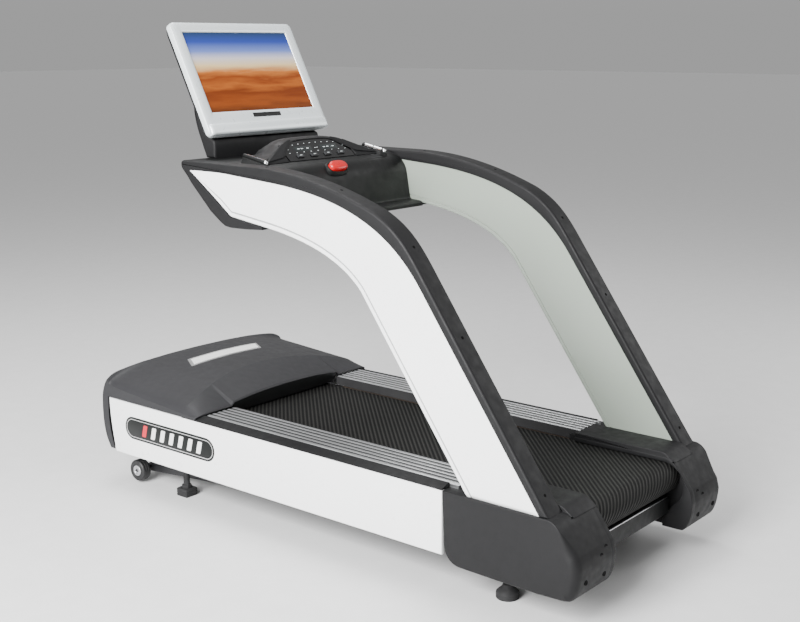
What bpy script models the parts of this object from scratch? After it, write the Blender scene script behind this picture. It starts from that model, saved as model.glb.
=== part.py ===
"""A commercial treadmill: an inclining running base, two swept side arms, a console and a screen.

Frame: +X is the runner's right, +Y is the running direction, +Z is up. The origin is on the floor, under
the middle of the machine. Lengths are metres. Places along the machine are written as stations, measured
forward from the plane of the rear end caps, and y() turns a station into a Y coordinate.
"""

import math

import bmesh
import bpy
from mathutils import Matrix, Vector

# ---------------------------------------------------------------- driving dimensions
HALF_WIDTH = 0.46  # outer face of the side panels
REAR_STATION = -0.033  # rearmost bulge of the end caps
NOSE_STATION = 2.085  # front of the motor hood
GAP = 0.0003  # clearance between pieces that touch
SIDES = {"left": -1, "right": 1}

BELT_WIDTH = 0.52
BELT_THICKNESS = 0.0025
ROLLER_RADIUS = 0.047
ROLLER_HEIGHT = 0.262
REAR_ROLLER_STATION = 0.075
DRIVE_ROLLER_STATION = 1.600

RAIL_INNER, RAIL_OUTER = 0.270, 0.330  # steel box rails of the frame
RAIL_LOW, RAIL_HIGH = 0.170, 0.240
RAIL_WALL = 0.003
DECK_THICKNESS = 0.025
STEP_INNER, STEP_OUTER = 0.275, 0.418  # the ribbed rails that the runner steps on
STEP_LOW, STEP_HIGH, SKIRT_LOW = 0.3303, 0.3450, 0.3100
STEP_REAR, STEP_FRONT = 0.412, 1.533
PANEL_LOW, PANEL_HIGH = 0.123, 0.330
CAP_INNER, CAP_TOP, CAP_WALL = 0.243, 0.330, 0.005

ARM_INNER, ARM_OUTER = 0.375, 0.453
ARM_BASE = CAP_TOP + GAP
ARM_SEAM = 0.414

FOOT_STATION, FOOT_X = 0.270, 0.355  # rear feet, on which the whole base tilts
FOOT_PIVOT_HEIGHT = 0.046
FRONT_FOOT_STATION, FRONT_FOOT_X = 1.690, 0.385

LIFT_PIVOT_STATION, LIFT_PIVOT_HEIGHT = 1.420, 0.105
WHEEL_STATION, WHEEL_HEIGHT, WHEEL_RADIUS = 1.935, 0.049, 0.041
WHEEL_X = 0.402
LEVER_LENGTH, LEVER_LEAN = 0.070, math.radians(13)
LIFT_TUBE_RADIUS = 0.014

MOTOR_STATION, MOTOR_HEIGHT, MOTOR_RADIUS = 1.800, 0.295, 0.050
PULLEY_X = -0.3625
DRIVE_PULLEY_RADIUS, MOTOR_PULLEY_RADIUS = 0.055, 0.028

CONSOLE_HALF = 0.3745
CONSOLE_TOP = 1.2435
PANEL_TILT = math.radians(44)
GRIP_X, GRIP_RADIUS = 0.310, 0.009
TV_WIDTH, TV_HEIGHT, TV_LEAN = 0.611, 0.441, math.radians(27.5)
TV_BOTTOM_STATION, TV_BOTTOM_HEIGHT = 1.583, 1.327
TV_BEZEL, TV_BACK = 0.024, 0.036
PANE_LOW, PANE_HIGH = 0.0865, 0.4015  # edges of the screen's glass, measured up its front

# ---------------------------------------------------------------- the scene
for thing in list(bpy.data.objects):
    bpy.data.objects.remove(thing, do_unlink=True)
parts = bpy.data.collections.new("treadmill")
cutters = bpy.data.collections.new("cutters")
for collection in (parts, cutters):
    bpy.context.scene.collection.children.link(collection)


def y(station):
    """The Y coordinate of a station."""
    return station - (REAR_STATION + NOSE_STATION) / 2


def finish(name, red, green, blue, roughness, metallic=0.0):
    """A Principled BSDF material."""
    made = bpy.data.materials.new(name)
    made.use_nodes = True
    shader = made.node_tree.nodes["Principled BSDF"]
    shader.inputs["Base Color"].default_value = (red, green, blue, 1)
    shader.inputs["Roughness"].default_value = roughness
    shader.inputs["Metallic"].default_value = metallic
    return made


WHITE = finish("white_gloss_panel", 0.80, 0.80, 0.80, 0.2)
CHARCOAL = finish("charcoal_moulding", 0.060, 0.060, 0.062, 0.5)
HOOD_GREY = finish("hood_moulding", 0.100, 0.100, 0.105, 0.5)
FRAME_STEEL = finish("frame_paint", 0.030, 0.030, 0.032, 0.5, 0.2)
ROLLER_STEEL = finish("bright_steel", 0.60, 0.60, 0.62, 0.25, 1.0)
RAIL_SILVER = finish("rail_aluminium", 0.55, 0.56, 0.57, 0.35, 1.0)
BELT_RUBBER = finish("belt_rubber", 0.025, 0.025, 0.025, 0.75)
FOOT_RUBBER = finish("foot_rubber", 0.020, 0.020, 0.020, 0.8)
DECK_WOOD = finish("deck_board", 0.40, 0.27, 0.16, 0.5)
MOTOR_IRON = finish("motor_iron", 0.12, 0.12, 0.13, 0.5, 0.6)
CASE_GREY = finish("controller_case", 0.35, 0.36, 0.38, 0.4, 1.0)
CONSOLE_GREY = finish("console_moulding", 0.035, 0.036, 0.036, 0.5)
KEY_BLACK = finish("key_sheet", 0.010, 0.010, 0.010, 0.3)
KEY_SILVER = finish("key_cap", 0.50, 0.50, 0.50, 0.4)
STOP_RED = finish("stop_red", 0.60, 0.010, 0.015, 0.35)
GRIP_CHROME = finish("grip_chrome", 0.70, 0.70, 0.70, 0.12, 1.0)
BEZEL_SILVER = finish("bezel_silver", 0.62, 0.68, 0.70, 0.3, 0.1)
SCREEN_GLASS = finish("screen_face", 0.15, 0.22, 0.35, 0.1)


def keep(part, material, smooth=False):
    """Puts a finished piece in the treadmill's collection with its material."""
    part.data.materials.clear()
    part.data.materials.append(material)
    if part.name not in parts.objects:
        parts.objects.link(part)
    if smooth:
        part.data.shade_smooth()
        part.data.set_sharp_from_angle(angle=math.radians(35))
    return part


def as_object(name, mesh_builder):
    """An object from a bmesh, faces turned outwards."""
    bmesh.ops.recalc_face_normals(mesh_builder, faces=mesh_builder.faces)
    mesh = bpy.data.meshes.new(name)
    mesh_builder.to_mesh(mesh)
    mesh_builder.free()
    return bpy.data.objects.new(name, mesh)


def block(name, low, high, bevel=0.0):
    """A box between two corners given as (x, station, z), its edges broken by a bevel."""
    corners = [Vector((x, y(station), z)) for x, station, z in (low, high)]
    size = corners[1] - corners[0]
    builder = bmesh.new()
    bmesh.ops.create_cube(builder, size=1, matrix=Matrix.Diagonal((*map(abs, size), 1)))
    made = as_object(name, builder)
    made.location = (corners[0] + corners[1]) / 2
    if bevel:
        edges = made.modifiers.new("edges", "BEVEL")
        edges.width, edges.segments = bevel, 1
    return made


def outline_solid(name, outlines, thickness, matrix, bevel=0.0):
    """A flat closed outline, with any holes in it, made solid to a thickness and stood up by a matrix."""
    curve = bpy.data.curves.new(name, "CURVE")
    curve.dimensions, curve.fill_mode = "2D", "BOTH"
    curve.extrude = thickness / 2
    for outline in outlines:
        spline = curve.splines.new("POLY")
        spline.points.add(len(outline) - 1)
        for point, (across, up) in zip(spline.points, outline):
            point.co = (across, up, 0, 1)
        spline.use_cyclic_u = True
    flat = bpy.data.objects.new(name + "_outline", curve)
    bpy.context.scene.collection.objects.link(flat)
    bpy.context.view_layer.update()
    graph = bpy.context.evaluated_depsgraph_get()
    mesh = bpy.data.meshes.new_from_object(flat.evaluated_get(graph))
    bpy.data.objects.remove(flat, do_unlink=True)
    builder = bmesh.new()
    builder.from_mesh(mesh)
    bpy.data.meshes.remove(mesh)
    bmesh.ops.remove_doubles(builder, verts=builder.verts, dist=0.00002)
    made = as_object(name, builder)
    made.matrix_world = matrix
    if bevel:
        edges = made.modifiers.new("edges", "BEVEL")
        edges.width, edges.segments = bevel, 1
        edges.limit_method, edges.angle_limit = "ANGLE", math.radians(50)
    return made


def side_solid(name, outline, x_low, x_high, holes=(), bevel=0.0):
    """An outline of (station, z) points seen from the side, solid from x_low to x_high."""
    stood_up = Matrix(((0, 0, 1, (x_low + x_high) / 2), (1, 0, 0, 0), (0, 1, 0, 0), (0, 0, 0, 1)))
    flat = [[(y(station), height) for station, height in line] for line in (outline, *holes)]
    return outline_solid(name, flat, x_high - x_low, stood_up, bevel)


def front_solid(name, outline, rear, front, holes=(), bevel=0.0):
    """An outline of (x, z) points seen from the rear, solid from one station to another."""
    stood_up = Matrix(((1, 0, 0, 0), (0, 0, -1, y((rear + front) / 2)), (0, 1, 0, 0), (0, 0, 0, 1)))
    return outline_solid(name, [outline, *holes], front - rear, stood_up, bevel)


def plan_solid(name, outline, low, high, bevel=0.0):
    """An outline of (x, station) points seen from above, solid from one height to another."""
    flat = [[(x, y(station)) for x, station in outline]]
    return outline_solid(name, flat, high - low, Matrix.Translation((0, 0, (low + high) / 2)), bevel)


def turned(name, profile, location, steps=32, axis="X"):
    """A profile of (distance along the axis, radius) points, turned about a line along X or Z."""
    ends = zip(profile, profile[1:] + profile[:1])
    area = sum(a[0] * b[1] - b[0] * a[1] for a, b in ends)
    ordered = profile if area > 0 else profile[::-1]
    builder = bmesh.new()
    points = [builder.verts.new((radius, 0, along)) for along, radius in ordered]
    for start, end in zip(points, points[1:]):
        builder.edges.new((start, end))
    mesh = bpy.data.meshes.new(name)
    builder.to_mesh(mesh)
    builder.free()
    made = bpy.data.objects.new(name, mesh)
    x, station, z = location
    made.location = (x, y(station), z)
    if axis == "X":
        made.rotation_euler = (0, math.pi / 2, 0)
    turn = made.modifiers.new("turn", "SCREW")
    turn.steps = turn.render_steps = steps
    turn.use_merge_vertices, turn.merge_threshold = True, 0.00005
    turn.use_smooth_shade = False
    return made


def cylinder(name, centre, radius, length, axis="X", sides=24):
    """A round bar, its centre given as (x, station, z)."""
    builder = bmesh.new()
    bmesh.ops.create_cone(
        builder, cap_ends=True, segments=sides, radius1=radius, radius2=radius, depth=length
    )
    made = as_object(name, builder)
    x, station, z = centre
    made.location = (x, y(station), z)
    made.rotation_euler = {"X": (0, math.pi / 2, 0), "Y": (math.pi / 2, 0, 0), "Z": (0, 0, 0)}[axis]
    return made


def combine(part, tool, operation):
    """Cuts part with tool, joins tool to it or keeps what they share. The tool is a hidden cutter."""
    tool.name = part.name + "_" + operation.lower() + "_tool"
    cutters.objects.link(tool)
    tool.hide_render = True
    tool.display_type = "WIRE"
    change = part.modifiers.new(operation.lower(), "BOOLEAN")
    change.operation, change.object = operation, tool
    return part


def arc(centre_across, centre_up, radius, start_degrees, end_degrees, steps=6):
    """Points along an arc, angles measured from across towards up."""
    angles = [start_degrees + (end_degrees - start_degrees) * step / steps for step in range(steps + 1)]
    return [
        (
            centre_across + radius * math.cos(math.radians(angle)),
            centre_up + radius * math.sin(math.radians(angle)),
        )
        for angle in angles
    ]


def curve_points(start, pull_start, pull_end, end, steps=8):
    """Points along a cubic Bezier curve of (station, z) points."""
    points = []
    for step in range(steps + 1):
        t = step / steps
        weights = ((1 - t) ** 3, 3 * t * (1 - t) ** 2, 3 * t**2 * (1 - t), t**3)
        controls = (start, pull_start, pull_end, end)
        points.append(tuple(sum(w * p[axis] for w, p in zip(weights, controls)) for axis in (0, 1)))
    return points


def shifted(path, distance):
    """An open path moved sideways, to its left when distance is positive."""
    moved = []
    for index, (across, up) in enumerate(path):
        before = Vector(path[max(index - 1, 0)])
        after = Vector(path[min(index + 1, len(path) - 1)])
        along = (after - before).normalized()
        moved.append((across - along.y * distance, up + along.x * distance))
    return moved


def mix(first, second, share):
    """The point a share of the way from first to second."""
    return tuple(a + (b - a) * share for a, b in zip(first, second))


def mirrored_span(low, high, side):
    """The x range of a piece on one side of the machine."""
    return (low, high) if side > 0 else (-high, -low)


# ---------------------------------------------------------------- frame, feet and deck
def make_frame(side_name, side):
    """Box rail, arm mount with its foot stem, front foot, bearings and cushion of one side."""
    low, high = mirrored_span(RAIL_INNER, RAIL_OUTER, side)
    outline = [(low, RAIL_LOW), (high, RAIL_LOW), (high, RAIL_HIGH), (low, RAIL_HIGH)]
    inside = [
        (low + RAIL_WALL, RAIL_LOW + RAIL_WALL),
        (high - RAIL_WALL, RAIL_LOW + RAIL_WALL),
        (high - RAIL_WALL, RAIL_HIGH - RAIL_WALL),
        (low + RAIL_WALL, RAIL_HIGH - RAIL_WALL),
    ]
    rail = front_solid("chassis_rail_" + side_name, outline, 0.08, 2.0, [inside])
    low, high = mirrored_span(0.285, 0.300, side)
    pivot = (LIFT_PIVOT_STATION, LIFT_PIVOT_HEIGHT)
    tab = block(
        "tab", (low, pivot[0] - 0.025, pivot[1] - 0.022), (high, pivot[0] + 0.025, RAIL_LOW + 0.002)
    )
    combine(rail, tab, "UNION")
    eye = cylinder("eye", (side * 0.29, *pivot), LIFT_TUBE_RADIUS + GAP, 0.06, "X", 24)
    keep(combine(rail, eye, "DIFFERENCE"), FRAME_STEEL)

    low, high = mirrored_span(RAIL_OUTER + GAP, 0.4040, side)
    mount = block("arm_mount_" + side_name, (low, 0.13, 0.175), (high, 0.34, 0.215))
    stem_top, stem_bottom = 0.180, FOOT_PIVOT_HEIGHT + 0.003
    stem = cylinder(
        "stem",
        (side * FOOT_X, FOOT_STATION, (stem_top + stem_bottom) / 2),
        0.010,
        stem_top - stem_bottom,
        "Z",
        16,
    )
    keep(combine(mount, stem, "UNION"), FRAME_STEEL)

    pad = [(0, 0.036), (0.020, 0.036), (0.034, 0.020), (FOOT_PIVOT_HEIGHT - 0.001, 0.016)]
    profile = [(0, 0.0), *pad, (FOOT_PIVOT_HEIGHT - 0.001, 0.0)]
    foot = turned(
        "rear_foot_pad_" + side_name, profile[::-1], (side * FOOT_X, FOOT_STATION, 0), 24, "Z"
    )
    keep(foot, FOOT_RUBBER)

    low, high = mirrored_span(RAIL_OUTER + GAP, 0.405, side)
    post = block(
        "front_foot_" + side_name,
        (low, FRONT_FOOT_STATION - 0.025, 0.185),
        (high, FRONT_FOOT_STATION + 0.025, 0.205),
    )
    leg = cylinder("leg", (side * FRONT_FOOT_X, FRONT_FOOT_STATION, 0.1075), 0.012, 0.165, "Z", 16)
    pad_block = block(
        "pad",
        (side * FRONT_FOOT_X - 0.028, FRONT_FOOT_STATION - 0.028, 0),
        (side * FRONT_FOOT_X + 0.028, FRONT_FOOT_STATION + 0.028, 0.030),
        0.004,
    )
    combine(post, leg, "UNION")
    keep(combine(post, pad_block, "UNION"), FOOT_RUBBER)

    low, high = mirrored_span(RAIL_INNER + 0.002, RAIL_OUTER - 0.002, side)
    for place, station in (("rear", REAR_ROLLER_STATION), ("front", DRIVE_ROLLER_STATION)):
        rear = max(station - 0.030, 0.045)
        bearing = block(
            f"{place}_bearing_{side_name}",
            (low, rear, RAIL_HIGH + GAP),
            (high, station + 0.030, ROLLER_HEIGHT + 0.024),
        )
        bore = cylinder("bore", (side * 0.3, station, ROLLER_HEIGHT), 0.0128, 0.1, "X", 24)
        keep(combine(bearing, bore, "DIFFERENCE"), FRAME_STEEL)

    low, high = mirrored_span(0.2745, 0.318, side)
    cushion_top = ROLLER_HEIGHT + ROLLER_RADIUS - GAP - DECK_THICKNESS - GAP
    cushion = block(
        "deck_cushion_" + side_name, (low, 0.22, RAIL_HIGH + GAP), (high, 1.48, cushion_top), 0.003
    )
    keep(cushion, FOOT_RUBBER)


def make_deck():
    """The waxed board under the belt, and the cross members that tie the rails."""
    deck_top = ROLLER_HEIGHT + ROLLER_RADIUS - GAP
    deck = block("running_deck", (-0.320, 0.20, deck_top - DECK_THICKNESS), (0.320, 1.50, deck_top), 0.002)
    keep(deck, DECK_WOOD)
    reach = RAIL_INNER - GAP
    tie = block("middle_cross_member", (-reach, 0.95, 0.172), (reach, 1.01, 0.2090), 0.003)
    keep(tie, FRAME_STEEL)
    pan = block("motor_pan", (-0.330, 1.70, RAIL_HIGH + GAP), (0.330, 1.985, RAIL_HIGH + GAP + 0.003))
    tie = block("tie", (-reach, 1.94, 0.172), (reach, 1.975, RAIL_HIGH + GAP + 0.002))
    keep(combine(pan, tie, "UNION"), FRAME_STEEL)
    bar_reach = CAP_INNER - GAP
    bar = block("rear_cross_bar", (-bar_reach, 0.050, 0.142), (bar_reach, 0.098, 0.206), 0.004)
    keep(bar, CHARCOAL)


def belt_loop(circles, thickness, steps=20):
    """The outer and inner outline of a belt round two rollers on the same level."""
    (rear_station, rear_radius), (front_station, front_radius) = circles
    lean = math.degrees(math.asin((front_radius - rear_radius) / (front_station - rear_station)))
    loops = []
    for extra in (thickness, 0.0):
        front = arc(
            front_station, 0, front_radius + extra, -90 - lean, 90 + lean, steps
        )
        rear = arc(rear_station, 0, rear_radius + extra, 90 + lean, 270 - lean, steps)
        loops.append(front + rear)
    return loops


def make_running_belt():
    """The belt, a thin closed loop round both rollers and the deck."""
    circles = (
        (REAR_ROLLER_STATION, ROLLER_RADIUS + GAP),
        (DRIVE_ROLLER_STATION, ROLLER_RADIUS + GAP),
    )
    outer, inner = belt_loop(circles, BELT_THICKNESS)
    lifted = [[(station, up + ROLLER_HEIGHT) for station, up in loop] for loop in (outer, inner)]
    belt = side_solid("running_belt", lifted[0], -BELT_WIDTH / 2, BELT_WIDTH / 2, [lifted[1]])
    keep(belt, BELT_RUBBER, smooth=True)


def roller(name, station, reach):
    """A tube on a shaft, joined by a web in the middle; reach is the shaft's (left, right) ends."""
    shaft, tube_inner, half_tube, half_web = 0.0125, ROLLER_RADIUS - 0.006, 0.265, 0.006
    left, right = reach
    profile = [
        (right, 0.0),
        (right, shaft),
        (half_web, shaft),
        (half_web, tube_inner),
        (half_tube, tube_inner),
        (half_tube, ROLLER_RADIUS),
        (-half_tube, ROLLER_RADIUS),
        (-half_tube, tube_inner),
        (-half_web, tube_inner),
        (-half_web, shaft),
        (left, shaft),
        (left, 0.0),
    ]
    made = turned(name, profile, (0, station, ROLLER_HEIGHT), 28)
    return keep(made, ROLLER_STEEL, smooth=True)


def make_drive():
    """Rollers, motor, its rotor with flywheel and pulley, the ribbed drive belt and the controller."""
    roller("rear_roller", REAR_ROLLER_STATION, (-0.325, 0.325))
    roller("drive_roller", DRIVE_ROLLER_STATION, (PULLEY_X - 0.0175, 0.325))
    half = 0.0155
    rim = DRIVE_PULLEY_RADIUS
    profile = [(-half, 0.0128), (half, 0.0128), (half, rim), (-half, rim), (-half, 0.0128)]
    pulley = turned(
        "drive_pulley", profile, (PULLEY_X, DRIVE_ROLLER_STATION, ROLLER_HEIGHT), 28
    )
    keep(pulley, MOTOR_IRON, smooth=True)

    motor = cylinder("drive_motor", (-0.005, MOTOR_STATION, MOTOR_HEIGHT), MOTOR_RADIUS, 0.19, "X", 28)
    saddle = block(
        "saddle",
        (-0.075, MOTOR_STATION - 0.045, RAIL_HIGH + 2 * GAP + 0.003),
        (0.065, MOTOR_STATION + 0.045, MOTOR_HEIGHT),
    )
    keep(combine(motor, saddle, "UNION"), MOTOR_IRON)

    start, flywheel, rim = -0.103, 0.044, MOTOR_PULLEY_RADIUS
    profile = [
        (start, 0.0),
        (start, 0.010),
        (start - 0.008, 0.010),
        (start - 0.008, flywheel),
        (start - 0.032, flywheel),
        (start - 0.032, 0.010),
        (PULLEY_X + half, 0.010),
        (PULLEY_X + half, rim),
        (PULLEY_X - half, rim),
        (PULLEY_X - half, 0.0),
    ]
    rotor = turned("motor_rotor", profile, (0, MOTOR_STATION, MOTOR_HEIGHT), 28)
    keep(rotor, ROLLER_STEEL, smooth=True)

    rise = MOTOR_HEIGHT - ROLLER_HEIGHT
    apart = MOTOR_STATION - DRIVE_ROLLER_STATION
    spread = math.hypot(apart, rise)
    tilt = math.atan2(rise, apart)
    slack = 3 * GAP
    circles = ((0, DRIVE_PULLEY_RADIUS + slack), (spread, MOTOR_PULLEY_RADIUS + slack))
    level = belt_loop(circles, 0.003, 16)
    placed = [
        [
            (
                DRIVE_ROLLER_STATION + along * math.cos(tilt) - up * math.sin(tilt),
                ROLLER_HEIGHT + along * math.sin(tilt) + up * math.cos(tilt),
            )
            for along, up in loop
        ]
        for loop in level
    ]
    belt = side_solid("drive_belt", placed[0], PULLEY_X - 0.012, PULLEY_X + 0.012, [placed[1]])
    keep(belt, BELT_RUBBER, smooth=True)

    low, high = (0.115, 1.715, RAIL_HIGH + 0.004), (0.305, 1.955, RAIL_HIGH + 0.062)
    keep(block("motor_controller", low, high, 0.004), CASE_GREY)


# ---------------------------------------------------------------- outer base
def make_base_covers(side_name, side):
    """Ribbed step rail, white side panel and rear end cap of one side."""
    ribs = 7
    width = STEP_OUTER - STEP_INNER
    rib_pitch = width / ribs
    top = []
    for rib in range(ribs):
        start = STEP_INNER + rib * rib_pitch
        top += [
            (start + 0.004, STEP_HIGH - 0.003),
            (start + 0.006, STEP_HIGH),
            (start + rib_pitch - 0.002, STEP_HIGH),
            (start + rib_pitch, STEP_HIGH - 0.003),
        ]
    skirt = STEP_INNER + 0.005
    outline = [(STEP_INNER, SKIRT_LOW), (STEP_INNER, STEP_HIGH - 0.003), *top, (STEP_OUTER, STEP_LOW)]
    outline += [(skirt, STEP_LOW), (skirt, SKIRT_LOW)]
    placed = [(side * across, up) for across, up in outline]
    keep(front_solid("side_rail_" + side_name, placed, STEP_REAR, STEP_FRONT), RAIL_SILVER)

    low, high = mirrored_span(HALF_WIDTH - 0.014, HALF_WIDTH, side)
    front_edge = curve_points((2.004, PANEL_LOW), (2.020, 0.19), (2.032, 0.26), (2.032, PANEL_HIGH), 6)
    panel = side_solid(
        "side_panel_" + side_name,
        [(0.4445, PANEL_LOW), *front_edge, (0.4445, PANEL_HIGH)],
        low,
        high,
        bevel=0.002,
    )
    keep(panel, WHITE)

    outline = [
        (0.444, 0.310),
        (0.439, 0.238),
        (0.435, 0.158),
        *arc(0.378, 0.155, 0.057, -15, -90, 4),
        (0.012, 0.095),
        *curve_points((0.0, 0.096), (-0.022, 0.104), (-0.033, 0.155), (-0.033, 0.196), 4),
        (-0.024, 0.229),
        (0.030, 0.306),
        (0.052, 0.322),
        (0.075, CAP_TOP),
        (0.444, CAP_TOP),
    ]
    low, high = mirrored_span(CAP_INNER, HALF_WIDTH, side)
    cap = side_solid("end_cap_" + side_name, outline, low, high)
    corner = 0.040
    rounded = arc(HALF_WIDTH - corner, REAR_STATION + corner, corner, -90, 0, 5)
    plan = [(0.2, REAR_STATION), *rounded, (HALF_WIDTH, 0.6), (0.2, 0.6)]
    plan = [(side * x, station) for x, station in plan]
    combine(cap, plan_solid("plan", plan, 0.0, 0.5), "INTERSECT")
    cover = [(0.035, 0.320), (0.075, 0.3455), (0.4110, 0.3455), (0.4110, 0.320)]
    cover_low, cover_high = mirrored_span(CAP_INNER + 0.001, 0.3740, side)
    combine(cap, side_solid("cover", cover, cover_low, cover_high), "UNION")
    wall = CAP_WALL
    hollow = [
        (0.6, 0.101),
        (0.02, 0.101),
        (-0.012, 0.125),
        (-0.024, 0.19),
        (-0.014, 0.226),
        (0.036, 0.300),
        (0.078, CAP_TOP - wall),
        (0.6, CAP_TOP - wall),
    ]
    low, high = mirrored_span(CAP_INNER + wall, HALF_WIDTH - wall, side)
    hollow_tool = side_solid("hollow", hollow, low, high)
    combine(cap, hollow_tool, "DIFFERENCE")
    mouth = [
        (0.6, 0.3135),
        *arc(0.078, 0.2385, 0.075, 90, 235, 8),
        (0.052, 0.150),
        (0.071, 0.120),
        (0.071, 0.05),
        (0.6, 0.05),
    ]
    low, high = mirrored_span(0.20, 0.2655, side)
    combine(cap, side_solid("mouth", mouth, low, high), "DIFFERENCE")
    slot_low, slot_high = mirrored_span(0.4000, 0.4280, side)
    combine(cap, block("arm_slot", (slot_low, 0.120, 0.30), (slot_high, 0.305, 0.36)), "DIFFERENCE")
    low, high = mirrored_span(0.20, STEP_OUTER + 0.002, side)
    notch = block("rail_notch", (low, STEP_REAR - 0.0005, 0.30), (high, 0.60, 0.36))
    combine(cap, notch, "DIFFERENCE")
    hole = cylinder("foot_hole", (side * FOOT_X, FOOT_STATION, 0.10), 0.016, 0.04, "Z", 16)
    combine(cap, hole, "DIFFERENCE")
    keep(cap, CHARCOAL)


def make_hood():
    """The motor hood, a 4 mm shell lofted between rows from its rear edge over the top to the nose."""
    side_x = (0.0, 0.15, 0.278, 0.290, 0.36, 0.42, 0.448, HALF_WIDTH, HALF_WIDTH)
    rear_z = (0.378, 0.374, 0.362, 0.3505, 0.3505, 0.3500, 0.346, 0.342, 0.3335)
    top_rows = [
        (1.536, (0, 0, 0, 0, 0, 0, 0.004, 0.010, 0.010), rear_z),
        (
            1.700,
            (0, -0.015, -0.045, -0.050, -0.070, -0.085, -0.090, -0.090, -0.090),
            (0.431, 0.426, 0.411, 0.408, 0.393, 0.377, 0.361, 0.346, 0.3335),
        ),
        (1.880, (0,) * 9, (0.440, 0.436, 0.425, 0.423, 0.410, 0.395, 0.382, 0.367, 0.3335)),
        (2.010, (0,) * 9, (0.447, 0.443, 0.432, 0.430, 0.418, 0.404, 0.393, 0.379, 0.3335)),
    ]
    rows = [
        [(x, base + shift, z) for x, shift, z in zip(side_x, shifts, heights)]
        for base, shifts, heights in top_rows
    ]
    nose = (
        ((2.048, 0.4360), (2.030, 0.3940), (2.0300, 0.3335)),
        ((2.074, 0.4000), (2.050, 0.3820), (2.0375, 0.3335)),
        ((NOSE_STATION, 0.3400), (2.069, 0.3340), (2.0375, 0.3325)),
        ((NOSE_STATION - 0.005, 0.2450), (2.070, 0.2450), (2.0375, 0.2450)),
        ((2.068, 0.1800), (2.058, 0.1800), (2.0260, 0.1800)),
        ((2.040, 0.1320), (2.033, 0.1320), (2.0100, 0.1320)),
    )
    for middle, corner, edge in nose:
        row = []
        for x in side_x[:6]:
            row.append((x, *mix(middle, corner, (x / HALF_WIDTH) ** 4 * 0.6)))
        row.append((0.452, *mix(middle, corner, 0.75)))
        row += [(HALF_WIDTH, *corner), (HALF_WIDTH, *edge)]
        rows.append(row)
    builder = bmesh.new()
    grid = [[builder.verts.new((x, y(station), z)) for x, station, z in row] for row in rows]
    for row, following in zip(grid, grid[1:]):
        for index in range(len(row) - 1):
            builder.faces.new((row[index], row[index + 1], following[index + 1], following[index]))
    bmesh.ops.remove_doubles(builder, verts=builder.verts, dist=0.00002)
    hood = as_object("motor_hood", builder)
    mirror = hood.modifiers.new("halves", "MIRROR")
    mirror.merge_threshold = 0.0001
    wall = hood.modifiers.new("wall", "SOLIDIFY")
    wall.thickness, wall.offset = 0.004, -1
    keep(hood, HOOD_GREY)


# ---------------------------------------------------------------- arms
def arm_lines():
    """The arm's rear edge, the line between rim and white panel, and its front edge, from the base up."""
    rear = [(0.072, ARM_BASE), (0.541, 0.987)]
    rear += arc(0.690, 1.066, 0.063, 144, 116, 3)
    rear += curve_points((0.720, 1.146), (0.88, 1.208), (1.05, 1.25), (1.25, 1.25), 8)
    rear += [(1.562, 1.2505), *arc(1.570, 1.2385, 0.012, 90, -35, 4)]
    border = [(0.103, ARM_BASE)]
    border += curve_points((0.535, 0.932), (0.64, 1.078), (0.80, 1.178), (1.15, 1.205), 10)
    border += [(1.383, 1.222), (1.538, 1.222)]
    front = [(0.363, ARM_BASE)]
    front += curve_points((0.77, 0.893), (0.85, 0.985), (1.0, 1.035), (1.21, 1.060), 8)
    front += [(1.343, 1.078)]
    return rear, border, front


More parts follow.
